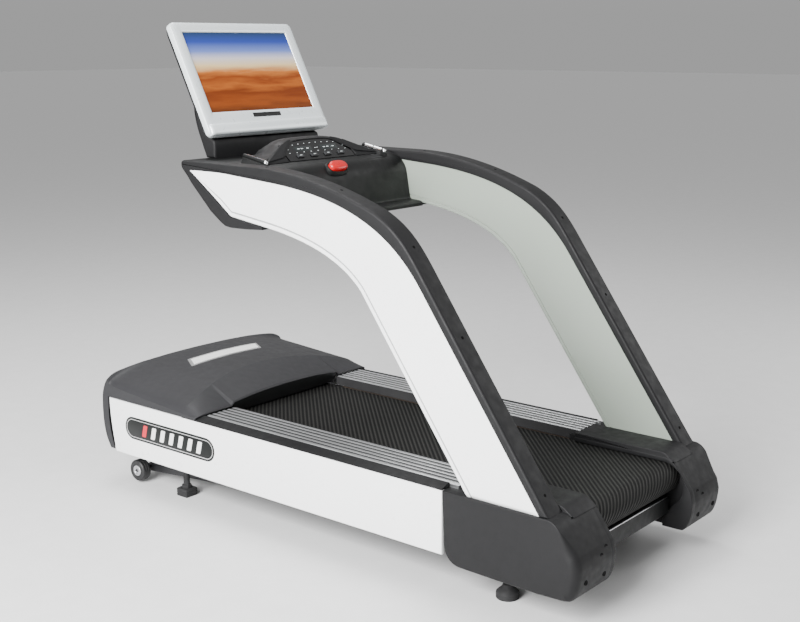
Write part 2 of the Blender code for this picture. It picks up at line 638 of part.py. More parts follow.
def make_arm(side_name, side):
    """Rim, outer and inner panels and the steel core of one swept arm."""
    rear, border, front = arm_lines()
    low, high = mirrored_span(ARM_INNER, ARM_OUTER, side)
    nose = [
        (1.534, 1.180),
        (1.486, 1.134),
        (1.439, 1.089),
        (1.391, 1.056),
        (1.343, 1.041),
        (1.271, 1.0425),
        (1.192, 1.0480),
        (1.192, 1.0560),
        (1.2145, 1.0595),
    ]
    under_line = shifted([front[-2], front[-1], border[-1]], -3 * GAP)[1:]
    inner_line = under_line + border[-1::-1]
    rim = side_solid("arm_rim_" + side_name, rear[:-1] + nose + inner_line, low, high)
    keep(rim, CHARCOAL)

    panel_border = shifted(border, -GAP * 1.5)
    panel_front = [*front[:-1], (front[-1][0] - 0.0008, front[-1][1] + 0.0003)]
    nose_corner = (border[-1][0] - 0.0012, border[-1][1] - 0.0006)
    outline = panel_front + [nose_corner] + panel_border[-2::-1]
    outline = [(station, max(height, ARM_BASE)) for station, height in outline]
    flange = 0.018
    pocket_front = shifted(panel_front[:-1], flange)
    pocket_front[0] = (pocket_front[0][0], ARM_BASE - 0.02)
    pocket_rear = [(station - 0.05, height + 0.05) for station, height in border[-1::-1]]
    pocket = pocket_front + [(1.30, 1.10), (1.50, 1.21)] + pocket_rear + [(0.0, ARM_BASE - 0.02)]
    faces = {
        "outer": (ARM_SEAM + GAP / 2, ARM_OUTER - 0.0015, ARM_SEAM - 0.01, ARM_OUTER - 0.008),
        "inner": (ARM_INNER + 0.0015, ARM_SEAM - GAP / 2, ARM_INNER + 0.008, ARM_SEAM + 0.01),
    }
    for face, (thin, thick, cut_low, cut_high) in faces.items():
        low, high = mirrored_span(thin, thick, side)
        panel = side_solid(f"arm_{face}_panel_{side_name}", outline, low, high)
        low, high = mirrored_span(cut_low, cut_high, side)
        combine(panel, side_solid("pocket", pocket, low, high), "DIFFERENCE")
        keep(panel, WHITE)

    share_rear, share_front = 0.12, 0.72
    stations = [0, 1, 3, 5, 7, 9]
    core_rear = [mix(border[1 + index], front[1 + min(index, 8)], share_rear) for index in stations]
    core_front = [mix(border[1 + index], front[1 + min(index, 8)], share_front) for index in stations]
    foot_rear = mix(border[0], front[0], share_rear)
    foot_front = mix(border[0], front[0], share_front)
    drop = ARM_BASE - 0.150
    foot = [(foot_front[0], ARM_BASE - drop), foot_front]
    outline = foot + core_front + core_rear[::-1] + [foot_rear, (foot_rear[0], ARM_BASE - drop)]
    low, high = mirrored_span(0.4045, 0.4125, side)
    keep(side_solid("arm_core_" + side_name, outline, low, high), FRAME_STEEL)


# ---------------------------------------------------------------- console and screen
def make_console():
    """Console housing with its arched pod, the key sheet, keys, stop button and pulse grips."""
    outline = [
        (1.178, 1.047),
        (1.179, 1.060),
        (1.190, 1.066),
        (1.238, 1.069),
        (1.260, 1.192),
        (1.290, 1.225),
        (1.345, CONSOLE_TOP),
        (1.655, CONSOLE_TOP),
        (1.668, 1.236),
        (1.668, 1.218),
        (1.560, 1.110),
        (1.470, 1.047),
    ]
    housing = side_solid("console_housing", outline, -CONSOLE_HALF, CONSOLE_HALF)
    hollow = [(1.244, 1.052), (1.267, 1.187), (1.300, 1.219), (1.640, 1.237), (1.555, 1.118), (1.465, 1.052)]
    combine(housing, side_solid("hollow", hollow, -CONSOLE_HALF + 0.006, CONSOLE_HALF - 0.006), "DIFFERENCE")
    vent = block("service_hole", (-0.15, 1.30, 1.03), (0.15, 1.40, 1.06))
    combine(housing, vent, "DIFFERENCE")
    slope_length = 0.092
    slope_end = (
        1.335 + slope_length * math.cos(PANEL_TILT),
        1.238 + slope_length * math.sin(PANEL_TILT),
    )
    pod_side = [(1.335, 1.238), slope_end, (1.435, 1.314), (1.475, 1.310), (1.520, 1.238)]
    half, rise = 0.192, 0.079
    pod = side_solid("pod", pod_side, -half - 0.002, half + 0.002)
    arch = [
        (
            half * math.copysign(abs(math.cos(angle)) ** 0.62, math.cos(angle)),
            1.238 + rise * math.sin(angle) ** 0.62,
        )
        for angle in (math.pi * step / 20 for step in range(21))
    ]
    arch_tool = front_solid("arch", arch, 1.30, 1.56)
    cutters.objects.link(pod)
    pod.hide_render, pod.display_type = True, "WIRE"
    combine(pod, arch_tool, "INTERSECT")
    joined = housing.modifiers.new("pod", "BOOLEAN")
    joined.operation, joined.object = "UNION", pod
    keep(housing, CONSOLE_GREY)

    tilt = Matrix.Rotation(PANEL_TILT, 4, "X")
    base = Vector((0, y(1.335), 1.238))

    def on_slope(up, out, across=0.0):
        return base + tilt.to_3x3() @ Vector((across, up, out))

    sheet = block("key_sheet", (-0.157, 0, 0), (0.157, 0.080, 0.003))
    sheet.name = "key_panel"
    sheet.matrix_world = Matrix.Translation(on_slope(0.048, 0.0018)) @ tilt
    for index, name in enumerate(("speed_down_key", "stop_key", "start_key", "speed_up_key")):
        across = -0.105 + 0.070 * index
        key = block("key", (0, 0, 0), (0.034, 0.014, 0.005), 0.001)
        key.name = name
        key.matrix_world = Matrix.Translation(on_slope(0.021, 0.0072, across)) @ tilt
        keep(key, KEY_SILVER)
    keep(sheet, KEY_BLACK)

    button = block("stop_button", (0, 0, 0), (0.084, 0.042, 0.016), 0.004)
    lean = Matrix.Rotation(math.atan2(0.030, 0.035), 4, "X")
    face = Vector((0, y(1.2725), 1.210))
    button.matrix_world = Matrix.Translation(face + lean.to_3x3() @ Vector((0, 0, 0.0135))) @ lean
    keep(button, STOP_RED)

    for side_name, side in SIDES.items():
        start, end = Vector((side * GRIP_X, y(1.420), 1.268)), Vector((side * GRIP_X, y(1.305), 1.246))
        grip = cylinder("pulse_grip_" + side_name, (0, 0, 0), GRIP_RADIUS, (end - start).length, "Z", 16)
        turn = (end - start).to_track_quat("Z", "Y").to_matrix().to_4x4()
        grip.matrix_world = Matrix.Translation((start + end) / 2) @ turn
        keep(grip, GRIP_CHROME, smooth=True)


def tv_point(up, behind):
    """A (station, z) point given by its place up the screen's front plane and its depth behind it."""
    along, down = math.sin(TV_LEAN), math.cos(TV_LEAN)
    return (
        TV_BOTTOM_STATION + up * along + behind * down,
        TV_BOTTOM_HEIGHT + up * down - behind * along,
    )


def make_screen():
    """The leaning screen: bezel, glass, back shell and the wide neck that holds it."""
    half = TV_WIDTH / 2
    bezel = side_solid(
        "tv_bezel",
        [tv_point(0, 0), tv_point(0, TV_BEZEL), tv_point(TV_HEIGHT, TV_BEZEL), tv_point(TV_HEIGHT, 0)],
        -half,
        half,
    )
    window = [tv_point(0.086, -0.01), tv_point(0.086, 0.010), tv_point(0.402, 0.010), tv_point(0.402, -0.01)]
    combine(bezel, side_solid("window", window, -0.262, 0.262), "DIFFERENCE")
    keep(bezel, BEZEL_SILVER)
    pane = ((PANE_LOW, 0.004), (PANE_LOW, 0.0097), (PANE_HIGH, 0.0097), (PANE_HIGH, 0.004))
    glass = [tv_point(up, behind) for up, behind in pane]
    keep(side_solid("tv_screen", glass, -0.2615, 0.2615), SCREEN_GLASS)
    back = [
        tv_point(0.004, TV_BEZEL + GAP),
        tv_point(0.030, TV_BEZEL + TV_BACK),
        tv_point(0.400, TV_BEZEL + TV_BACK),
        tv_point(0.437, TV_BEZEL + GAP),
    ]
    shell = side_solid("tv_back_shell", back, -half + 0.004, half - 0.004)
    hollow = [
        tv_point(0.015, TV_BEZEL - 0.010),
        tv_point(0.015, TV_BEZEL + 0.006),
        tv_point(0.036, TV_BEZEL + TV_BACK - 0.005),
        tv_point(0.394, TV_BEZEL + TV_BACK - 0.005),
        tv_point(0.425, TV_BEZEL + 0.006),
        tv_point(0.425, TV_BEZEL - 0.010),
    ]
    combine(shell, side_solid("hollow", hollow, -half + 0.010, half - 0.010), "DIFFERENCE")
    keep(shell, CHARCOAL)
    behind = TV_BEZEL + TV_BACK + GAP
    neck = [
        (1.608, CONSOLE_TOP + GAP),
        (1.655, CONSOLE_TOP + GAP),
        (1.668, 1.2600),
        (1.694, 1.330),
        (1.718, 1.405),
        tv_point(0.150, behind + 0.012),
        tv_point(0.150, behind),
        tv_point(0.030, behind),
        tv_point(-0.004, 0.034),
    ]
    keep(side_solid("tv_neck", neck, -0.270, 0.270), CHARCOAL)


# ---------------------------------------------------------------- lift and wheels
def make_lift():
    """The lift motor with its screw tube, and the swinging frame that carries the wheels."""
    pivot, height = LIFT_PIVOT_STATION, LIFT_PIVOT_HEIGHT
    line = height + LEVER_LENGTH * math.cos(LEVER_LEAN)
    tip = pivot - LEVER_LENGTH * math.sin(LEVER_LEAN)
    motor = block("lift_motor", (-0.032, 1.090, line - 0.032), (0.032, 1.175, line + 0.032), 0.006)
    barrel = cylinder("barrel", (0, 1.060, line), 0.024, 0.080, "Y", 20)
    combine(motor, barrel, "UNION")
    screw = cylinder("screw", (0, 1.235, line), 0.006, 0.130, "Y", 12)
    keep(combine(motor, screw, "UNION"), MOTOR_IRON)
    tube = cylinder("lift_tube", (0, (1.180 + tip + 0.012) / 2, line), 0.0105, tip + 0.012 - 1.180, "Y", 20)
    bore = cylinder("bore", (0, 1.26, line), 0.0068, 0.200, "Y", 16)
    combine(tube, bore, "DIFFERENCE")
    keep(tube, ROLLER_STEEL)

    outline = [(pivot - 0.020, height), *arc(pivot, height, 0.020, 180, 90, 3)]
    outline += [(WHEEL_STATION - 0.02, WHEEL_HEIGHT + 0.014)]
    outline += arc(WHEEL_STATION, WHEEL_HEIGHT, 0.016, 80, -90, 5)
    outline += [(pivot + 0.05, height - 0.030), *arc(pivot, height, 0.020, -90, -150, 2)]
    frame = side_solid("lift_frame", outline, 0.337, 0.357)
    combine(frame, side_solid("other_arm", outline, -0.357, -0.337), "UNION")
    combine(frame, cylinder("pivot_tube", (0, pivot, height), LIFT_TUBE_RADIUS, 0.70, "X", 24), "UNION")
    brace_station = 1.70
    brace_height = height + (WHEEL_HEIGHT - height) * (brace_station - pivot) / (WHEEL_STATION - pivot)
    combine(frame, cylinder("brace", (0, brace_station, brace_height), 0.012, 0.70, "X", 16), "UNION")
    for side in SIDES.values():
        axle = cylinder("axle", (side * 0.388, WHEEL_STATION, WHEEL_HEIGHT), 0.006, 0.070, "X", 12)
        combine(frame, axle, "UNION")
        ear = [
            (pivot - 0.012, height),
            (pivot + 0.012, height),
            (tip + 0.010, line + 0.010),
            (tip - 0.010, line + 0.010),
        ]
        low, high = mirrored_span(0.0130, 0.0190, side)
        combine(frame, side_solid("ear", ear, low, high), "UNION")
    keep(frame, FRAME_STEEL)

    for side_name, side in SIDES.items():
        tread, hub = WHEEL_RADIUS, 0.0063
        profile = [
            (-0.019, hub),
            (0.019, hub),
            (0.019, tread - 0.006),
            (0.015, tread),
            (-0.015, tread),
            (-0.019, tread - 0.006),
            (-0.019, hub),
        ]
        wheel = turned(
            "transport_wheel_" + side_name, profile, (side * WHEEL_X, WHEEL_STATION, WHEEL_HEIGHT), 28
        )
        keep(wheel, FOOT_RUBBER, smooth=True)


def make_power_switch():
    """The rocker of the mains switch, in front of the front cross member."""
    rocker = block("power_switch", (0.196, 1.979, 0.190), (0.212, 1.990, 0.216), 0.001)
    keep(rocker, KEY_BLACK)


def build():
    """Every piece of the treadmill."""
    for side_name, side in SIDES.items():
        make_frame(side_name, side)
        make_base_covers(side_name, side)
        make_arm(side_name, side)
    make_deck()
    make_running_belt()
    make_drive()
    make_hood()
    make_console()
    make_screen()
    make_lift()
    make_power_switch()


build()
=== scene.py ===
# %% [markdown]
# # A club treadmill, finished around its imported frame
#
# The frame holds every part of the machine at its real size: rails, rollers, motor, covers, arms, console
# and screen, each riding on the body that moves it. This lesson gives those parts their finished surfaces.
# Metal parts that are plain boxes or tubes on the real machine keep the frame's mesh and only get a finish.
# Moulded and pressed parts are made again as finer surfaces, worked out with numpy from a few outlines.

# %% Load the frame
import math

import bmesh
import bpy
import numpy as np
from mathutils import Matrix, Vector


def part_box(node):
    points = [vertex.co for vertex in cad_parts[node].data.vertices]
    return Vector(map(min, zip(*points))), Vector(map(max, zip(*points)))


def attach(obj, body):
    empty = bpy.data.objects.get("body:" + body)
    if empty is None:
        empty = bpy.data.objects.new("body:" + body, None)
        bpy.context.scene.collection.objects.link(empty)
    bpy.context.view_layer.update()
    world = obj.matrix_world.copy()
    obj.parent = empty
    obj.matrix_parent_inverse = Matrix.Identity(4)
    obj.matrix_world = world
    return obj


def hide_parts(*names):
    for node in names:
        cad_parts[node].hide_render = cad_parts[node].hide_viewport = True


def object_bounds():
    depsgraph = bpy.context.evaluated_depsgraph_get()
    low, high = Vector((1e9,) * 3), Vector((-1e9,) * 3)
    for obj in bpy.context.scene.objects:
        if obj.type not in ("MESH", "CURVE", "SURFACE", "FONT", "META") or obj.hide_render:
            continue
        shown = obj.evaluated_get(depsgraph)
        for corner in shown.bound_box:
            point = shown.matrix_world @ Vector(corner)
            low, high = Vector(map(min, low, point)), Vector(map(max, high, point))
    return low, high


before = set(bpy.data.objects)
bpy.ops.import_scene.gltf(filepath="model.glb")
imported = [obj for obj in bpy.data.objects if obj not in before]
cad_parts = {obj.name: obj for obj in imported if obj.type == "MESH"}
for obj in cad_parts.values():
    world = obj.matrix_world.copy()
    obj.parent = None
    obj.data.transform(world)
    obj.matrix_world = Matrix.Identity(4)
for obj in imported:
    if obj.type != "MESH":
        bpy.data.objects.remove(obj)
cad_low, cad_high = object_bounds()
REAR_BULGE = 0.033  # the end caps reach this far behind the line that stations are measured from
SIDES = {"left": -1, "right": 1}


def y(station):
    """A station, measured forward along the machine, as a Y coordinate: the frame's rear plus the bulge."""
    return cad_low.y + REAR_BULGE + station


print("frame", [round(size, 3) for size in cad_high - cad_low], "m,", len(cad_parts), "nodes")

# %% [markdown]
# ## Points along a line
#
# Every moulded part starts as an outline seen from the side. Straight runs need only their ends, a bent
# stretch is an arc or a Bezier curve, and a corner gets its round from `filleted`. All of these give arrays
# of points, so the same outline can be made coarse or fine by changing one count.


# %% Lines, arcs and curves as arrays
def run(*points):
    """Straight stretches through the given points."""
    return np.array(points, float)


def arc(across, up, radius, start, end, count=9):
    """Centre plus radius times (cos a, sin a), for count angles from start to end in degrees."""
    angle = np.radians(np.linspace(start, end, count))
    return np.stack((across + radius * np.cos(angle), up + radius * np.sin(angle)), axis=1)


def bezier(start, pull_start, pull_end, end, count=33):
    """(1−t)³ start + 3t(1−t)² pull_start + 3t²(1−t) pull_end + t³ end, for count values of t."""
    t = np.linspace(0, 1, count)[:, None]
    weights = ((1 - t) ** 3, 3 * t * (1 - t) ** 2, 3 * t**2 * (1 - t), t**3)
    return sum(w * np.array(p, float) for w, p in zip(weights, (start, pull_start, pull_end, end)))


def line(*stretches):
    """Stretches put end to end, with repeated points dropped."""
    points = np.vstack(stretches)
    apart = np.linalg.norm(np.diff(points, axis=0), axis=1) > 1e-6
    return points[np.concatenate(([True], apart))]


def even(points, count):
    """The same line with count points spaced evenly along its length."""
    steps = np.linalg.norm(np.diff(points, axis=0), axis=1)
    reach = np.concatenate(([0.0], np.cumsum(steps)))
    wanted = np.linspace(0, reach[-1], count)
    return np.stack([np.interp(wanted, reach, column) for column in points.T], axis=1)


def filleted(corners, radii, count=6):
    """A closed outline whose corners are rounded: each corner is replaced by a quadratic Bezier curve
    that starts and ends the given radius away from it, along its two edges."""
    corners = np.array(corners, float)
    radii = np.broadcast_to(radii, len(corners))
    before = np.roll(corners, 1, axis=0) - corners
    after = np.roll(corners, -1, axis=0) - corners
    t = np.linspace(0, 1, count)[:, None]
    pieces = []
    for corner, back, ahead, radius in zip(corners, before, after, radii):
        if radius == 0:
            pieces.append(corner[None])
            continue
        start = corner + back / np.linalg.norm(back) * min(radius, np.linalg.norm(back) / 2.001)
        end = corner + ahead / np.linalg.norm(ahead) * min(radius, np.linalg.norm(ahead) / 2.001)
        pieces.append((1 - t) ** 2 * start + 2 * t * (1 - t) * corner + t**2 * end)
    return line(*pieces)


def inward(outline):
    """Unit normals of a closed outline, pointing into it, longer at corners so that offset edges stay
    parallel: the mean of the two edges' normals, divided by its own squared length."""
    edges = np.roll(outline, -1, axis=0) - outline
    normals = np.stack((-edges[:, 1], edges[:, 0]), axis=1)
    normals /= np.linalg.norm(normals, axis=1)[:, None]
    mean = (normals + np.roll(normals, 1, axis=0)) / 2
    mean /= np.maximum((mean**2).sum(1), 0.4)[:, None]
    across, up = outline.T
    turning = np.sum(across * np.roll(up, -1) - np.roll(across, -1) * up)
    return mean * np.sign(turning)


print("a filleted square has", len(filleted(((0, 0), (1, 0), (1, 1), (0, 1)), 0.1)), "points")

# %% [markdown]
# ## From arrays to meshes
#
# A *patch* is a grid of points and the four-sided faces between neighbours. The grid may close on itself
# in either direction, as a tube does, and its first and last rows may be closed with one flat face. A piece
# is one or more patches in one mesh. Doubled points at seams and poles are merged, and on a closed piece the
# faces are turned outwards afterwards, because a mirrored left side would otherwise be inside out.


# %% Patches and pieces
MADE = []  # the pieces made since the last report


def patch(grid, wrap_rows=False, wrap_columns=False, caps=()):
    """Points and faces of a grid: face (r, c) joins points (r, c), (r, c+1), (r+1, c+1) and (r+1, c)."""
    rows, columns = grid.shape[:2]
    r, c = np.meshgrid(
        np.arange(rows if wrap_rows else rows - 1),
        np.arange(columns if wrap_columns else columns - 1),
        indexing="ij",
    )
    r, c = r.ravel(), c.ravel()
    below, beside = (r + 1) % rows, (c + 1) % columns
    corners = (r * columns + c, r * columns + beside, below * columns + beside, below * columns + c)
    faces = np.stack(corners, axis=1).tolist()
    if "first" in caps:
        faces.append(list(range(columns))[::-1])
    if "last" in caps:
        faces.append(list(range((rows - 1) * columns, rows * columns)))
    return grid.reshape(-1, 3), faces


def from_side(outline, x):
    """(station, height) points stood up in the plane across the machine at x."""
    return np.stack((np.full(len(outline), x), y(outline[:, 0]), outline[:, 1]), axis=-1)


def slab(outline, near, far, near_round, far_round, steps=5):
    """A side outline given width: at angle a of a quarter round of radius r, the outline is r(1 − sin a)
    inside its full size and r(1 − cos a) in from the face. Radii may differ at each outline point."""
    pull = inward(outline)
    direction = np.sign(far - near)
    rows = []
    for face, radius, sign, angles in (
        (near, near_round, direction, np.linspace(0, math.pi / 2, steps)),
        (far, far_round, -direction, np.linspace(math.pi / 2, 0, steps)),
    ):
        radius = np.broadcast_to(np.asarray(radius, float), len(outline))
        for angle in angles:
            moved = outline + pull * (radius * (1 - math.sin(angle)))[:, None]
            row = from_side(moved, 0.0)
            row[:, 0] = face + sign * radius * (1 - math.cos(angle))
            rows.append(row)
    return patch(np.array(rows), wrap_columns=True, caps=("first", "last"))


def frame_of(axis):
    """Two unit vectors square to an axis and to each other."""
    axis = np.array(axis, float) / np.linalg.norm(axis)
    helper = np.array((0.0, 0.0, 1.0)) if abs(axis[2]) < 0.9 else np.array((0.0, 1.0, 0.0))
    first = np.cross(helper, axis)
    first /= np.linalg.norm(first)
    return axis, first, np.cross(axis, first)


def turned(profile, centre, axis=(1, 0, 0), segments=48):
    """(along, radius) points carried round an axis: centre + along·axis + radius·(cos a, sin a)."""
    axis, first, second = frame_of(axis)
    profile = np.array(profile, float)
    angle = np.linspace(0, 2 * math.pi, segments, endpoint=False)
    ring = np.cos(angle)[:, None] * first + np.sin(angle)[:, None] * second
    grid = np.array(centre) + profile[:, :1, None] * axis + profile[:, 1:, None] * ring[None]
    return patch(grid, wrap_columns=True, caps=("first", "last"))


def carried(section, start, end, axes=((1, 0, 0), (0, 0, 1))):
    """A closed flat section carried straight from start to end, its two directions given by axes."""
    first, second = np.array(axes, float)
    flat = section[:, :1] * first + section[:, 1:] * second
    grid = np.stack((flat + np.array(start, float), flat + np.array(end, float)))
    return patch(grid, wrap_columns=True, caps=("first", "last"))


def piece(name, patches, finish, body="base", replaces=(), outward=None, sharp=35):
    """Joins patches into one mesh, merges doubled points, shades it smooth and sets it riding on a body. A
    closed piece has its faces turned outwards; an open surface faces the way that outward points."""
    points, faces, start = [], [], 0
    for patch_points, patch_faces in patches:
        points.append(patch_points)
        faces += [[index + start for index in face] for face in patch_faces]
        start += len(patch_points)
    mesh = bpy.data.meshes.new(name)
    mesh.from_pydata(np.vstack(points).tolist(), [], faces)
    builder = bmesh.new()
    builder.from_mesh(mesh)
    bmesh.ops.remove_doubles(builder, verts=builder.verts, dist=0.00001)
    bmesh.ops.dissolve_degenerate(builder, edges=builder.edges, dist=0.000005)
    bmesh.ops.recalc_face_normals(builder, faces=builder.faces)
    if outward is not None:
        facing = sum(face.normal.dot(outward) * face.calc_area() for face in builder.faces)
        if facing < 0:
            bmesh.ops.reverse_faces(builder, faces=builder.faces)
    builder.to_mesh(mesh)
    builder.free()
    mesh.shade_smooth()
    mesh.set_sharp_from_angle(angle=math.radians(sharp))
    mesh.materials.append(finish)
    made = bpy.data.objects.new(name, mesh)
    bpy.context.scene.collection.objects.link(made)
    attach(made, body)
    if replaces:
        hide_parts(*replaces)
    MADE.append(made)
    return made


def report():
    """Prints how many pieces the cell made, and their faces before any wall is added."""
    print(len(MADE), "pieces,", sum(len(made.data.polygons) for made in MADE), "faces")
    MADE.clear()


def wall(made, thickness):
    """Gives an open surface a wall on its inner side."""
    solid = made.modifiers.new("wall", "SOLIDIFY")
    solid.thickness, solid.offset, solid.use_even_offset = thickness, -1, True
    return made


print("a patch of 3 rows by 4 points has", len(patch(np.zeros((3, 4, 3)))[1]), "faces")

# %% [markdown]
# ## Finishes
#
# Each finish is one material on the Principled shader. What is the same all over, such as the gloss of the
# clear coat, is set on the shader itself. What varies is worked out from noise in object coordinates, so it
# has a real scale in metres: moulded plastic has a grain of about a millimetre, powder coat a softer skin,
# rolled aluminium fine lines along its length.


# %% Tools for finishes
def srgb(red, green, blue):
    """A display colour of 0 to 255 as the linear colour that shaders use."""
    share = np.array((red, green, blue)) / 255
    return (*np.where(share <= 0.04045, share / 12.92, ((share + 0.055) / 1.055) ** 2.4), 1.0)


def start_finish(name, roughness=0.5, metallic=0.0, **constants):
    """A material whose constants sit on the shader's own sockets."""
    made = bpy.data.materials.new(name)
    made.use_nodes = True
    shader = made.node_tree.nodes["Principled BSDF"]
    shader.inputs["Roughness"].default_value = roughness
    shader.inputs["Metallic"].default_value = metallic
    for socket, value in constants.items():
        shader.inputs[socket.replace("_", " ")].default_value = value
    return made


def place_of(made, stretch=(1, 1, 1), turn=(0, 0, 0), shift=(0, 0, 0), source="Object"):
    """Object or UV coordinates, stretched and turned by a Mapping node."""
    nodes, links = made.node_tree.nodes, made.node_tree.links
    coordinates, mapping = nodes.new("ShaderNodeTexCoord"), nodes.new("ShaderNodeMapping")
    mapping.inputs["Scale"].default_value = stretch
    mapping.inputs["Rotation"].default_value = turn
    mapping.inputs["Location"].default_value = shift
    links.new(coordinates.outputs[source], mapping.inputs["Vector"])
    return mapping.outputs["Vector"]


def noise(made, scale, detail=3.0, **where):
    """Noise of about 1/scale metres, from 0 to 1."""
    node = made.node_tree.nodes.new("ShaderNodeTexNoise")
    node.inputs["Scale"].default_value, node.inputs["Detail"].default_value = scale, detail
    made.node_tree.links.new(place_of(made, **where), node.inputs["Vector"])
    return node.outputs["Factor"] if "Factor" in node.outputs else node.outputs["Fac"]


def ramp(made, factor, *stops, smooth=False):
    """A colour ramp of (place, colour) stops."""
    node = made.node_tree.nodes.new("ShaderNodeValToRGB")
    node.color_ramp.interpolation = "EASE" if smooth else "LINEAR"
    elements = node.color_ramp.elements
    while len(elements) < len(stops):
        elements.new(0.5)
    for element, (place, colour) in zip(elements, stops):
        element.position, element.color = place, colour
    made.node_tree.links.new(factor, node.inputs["Fac"])
    return node.outputs["Color"]


def spread(made, factor, low, high, start=0.3, end=0.7):
    """The stretch of a factor from start to end, mapped to low to high."""
    node = made.node_tree.nodes.new("ShaderNodeMapRange")
    for socket, value in zip(("From Min", "From Max", "To Min", "To Max"), (start, end, low, high)):
        node.inputs[socket].default_value = value
    made.node_tree.links.new(factor, node.inputs["Value"])
    return node.outputs["Result"]


def feed(made, socket, value):
    """Links a value to one of the shader's sockets."""
    made.node_tree.links.new(value, made.node_tree.nodes["Principled BSDF"].inputs[socket])


def emboss(made, height, depth):
    """Relief of a given depth in metres, laid over any relief already there."""
    nodes, links = made.node_tree.nodes, made.node_tree.links
    bump, normal = nodes.new("ShaderNodeBump"), nodes["Principled BSDF"].inputs["Normal"]
    bump.inputs["Distance"].default_value = depth
    links.new(height, bump.inputs["Height"])
    if normal.is_linked:
        links.new(normal.links[0].from_socket, bump.inputs["Normal"])
    links.new(bump.outputs["Normal"], normal)


def around(colour, share):
    """A colour made lighter or darker by a share."""
    return (*(min(1.0, channel * share) for channel in colour[:3]), 1.0)


def mottled(name, colour, roughness, grain, depth, metallic=0.0, variety=0.12, **constants):
    """A finish with a slow change of tone and gloss over the part, and a fine grain in relief."""
    made = start_finish(name, roughness, metallic, **constants)
    slow = noise(made, 5.0, 4.0)
    tones = (0.3, around(colour, 1 - variety)), (0.7, around(colour, 1 + variety))
    feed(made, "Base Color", ramp(made, slow, *tones))
    feed(made, "Roughness", spread(made, noise(made, 38.0, 3.0), roughness * 0.88, roughness * 1.14))
    emboss(made, noise(made, 1 / grain, 2.0), depth)
    return made


def brushed(name, colour, roughness, along, depth=0.00004):
    """Bright metal with fine lines along one axis: noise stretched flat in that direction."""
    made = start_finish(name, roughness, 1.0)
    stretch = [900.0, 900.0, 900.0]
    stretch[along] = 6.0
    lines = noise(made, 1.0, 3.0, stretch=stretch)
    feed(made, "Base Color", ramp(made, lines, (0.3, around(colour, 0.86)), (0.7, around(colour, 1.08))))
    feed(made, "Roughness", spread(made, lines, roughness * 0.8, roughness * 1.25))
    emboss(made, lines, depth)
    return made


print("half grey is", round(srgb(128, 128, 128)[0], 3), "in linear light")

# %% [markdown]
# The white panels are sprayed and clear coated, so they have a skin with the faint waves of sprayed paint
# under a sharp gloss. Every black or grey moulding has a grain; only its tone and roughness differ.

# %% Paints and mouldings
FINISH = {
    "white_panel": mottled(
        "white_panel", srgb(248, 249, 249), 0.30, 0.030, 0.00003, variety=0.010,
        Coat_Weight=0.5, Coat_Roughness=0.06,
    ),
    "charcoal_moulding": mottled(
        "charcoal_moulding", srgb(22, 22, 23), 0.55, 0.0009, 0.00005, variety=0.06, Specular_IOR_Level=0.22
    ),
    "hood_moulding": mottled(
        "hood_moulding", srgb(40, 40, 42), 0.50, 0.0010, 0.00005, variety=0.06, Specular_IOR_Level=0.3
    ),
    "console_moulding": mottled(
        "console_moulding", srgb(13, 14, 14), 0.50, 0.0010, 0.00005, variety=0.08, Specular_IOR_Level=0.25
    ),
    "frame_paint": mottled("frame_paint", srgb(38, 38, 40), 0.42, 0.0022, 0.00006, 0.2),
    "foot_rubber": mottled("foot_rubber", srgb(26, 26, 27), 0.80, 0.0012, 0.00012, variety=0.2),
    "wheel_rubber": mottled("wheel_rubber", srgb(24, 24, 25), 0.55, 0.0015, 0.00008, variety=0.2),
    "drive_belt": mottled("drive_belt", srgb(24, 24, 24), 0.70, 0.0012, 0.00008, variety=0.2),
    "motor_iron": mottled("motor_iron", srgb(86, 88, 92), 0.50, 0.0025, 0.00010, 0.5),
    "controller_case": mottled("controller_case", srgb(168, 172, 176), 0.38, 0.0030, 0.00004, 0.9, 0.05),
    "key_sheet": mottled("key_sheet", srgb(14, 14, 15), 0.22, 0.0012, 0.00002, variety=0.2, Coat_Weight=0.3),
    "key_cap": mottled("key_cap", srgb(32, 33, 35), 0.38, 0.0012, 0.00003, variety=0.04),
    "bezel_silver": mottled(
        "bezel_silver", srgb(220, 227, 229), 0.30, 0.020, 0.000004, 0.2, 0.02,
        Coat_Weight=0.4, Coat_Roughness=0.08,
    ),
    "stop_red": mottled(
        "stop_red", srgb(182, 8, 16), 0.30, 0.0014, 0.00002, variety=0.06,
        Coat_Weight=0.15, Coat_Roughness=0.1,
    ),
    "bright_steel": brushed("bright_steel", (0.62, 0.62, 0.64), 0.28, 0),
    "rail_aluminium": brushed("rail_aluminium", (0.60, 0.61, 0.62), 0.36, 1, 0.00002),
    "grip_chrome": brushed("grip_chrome", (0.86, 0.87, 0.88), 0.10, 1, 0.00001),
}
# The inner covers take the white paint made darker and grey-green: this is painted shade, not a different
# paint.
WHITE_PANEL_PAINTED_SHADE = mottled(
    "white_panel_painted_shade", srgb(142, 150, 140), 0.34, 0.030, 0.00003, variety=0.012,
    Coat_Weight=0.3, Coat_Roughness=0.1,
)
# Grey laid in the white covers' grooves: painted shade in the groove.
GROOVE_PAINTED_SHADE = mottled("groove_painted_shade", srgb(150, 152, 152), 0.50, 0.030, 0.00003, variety=0.05)
# Near black: painted shade in the screw wells and vent slots, and also the colour of the wheels' axle bolt
# heads.
DARK_RECESS = mottled(
    "dark_recess", srgb(7, 7, 7), 0.85, 0.0012, 0.00004, variety=0.3, Specular_IOR_Level=0.1
)
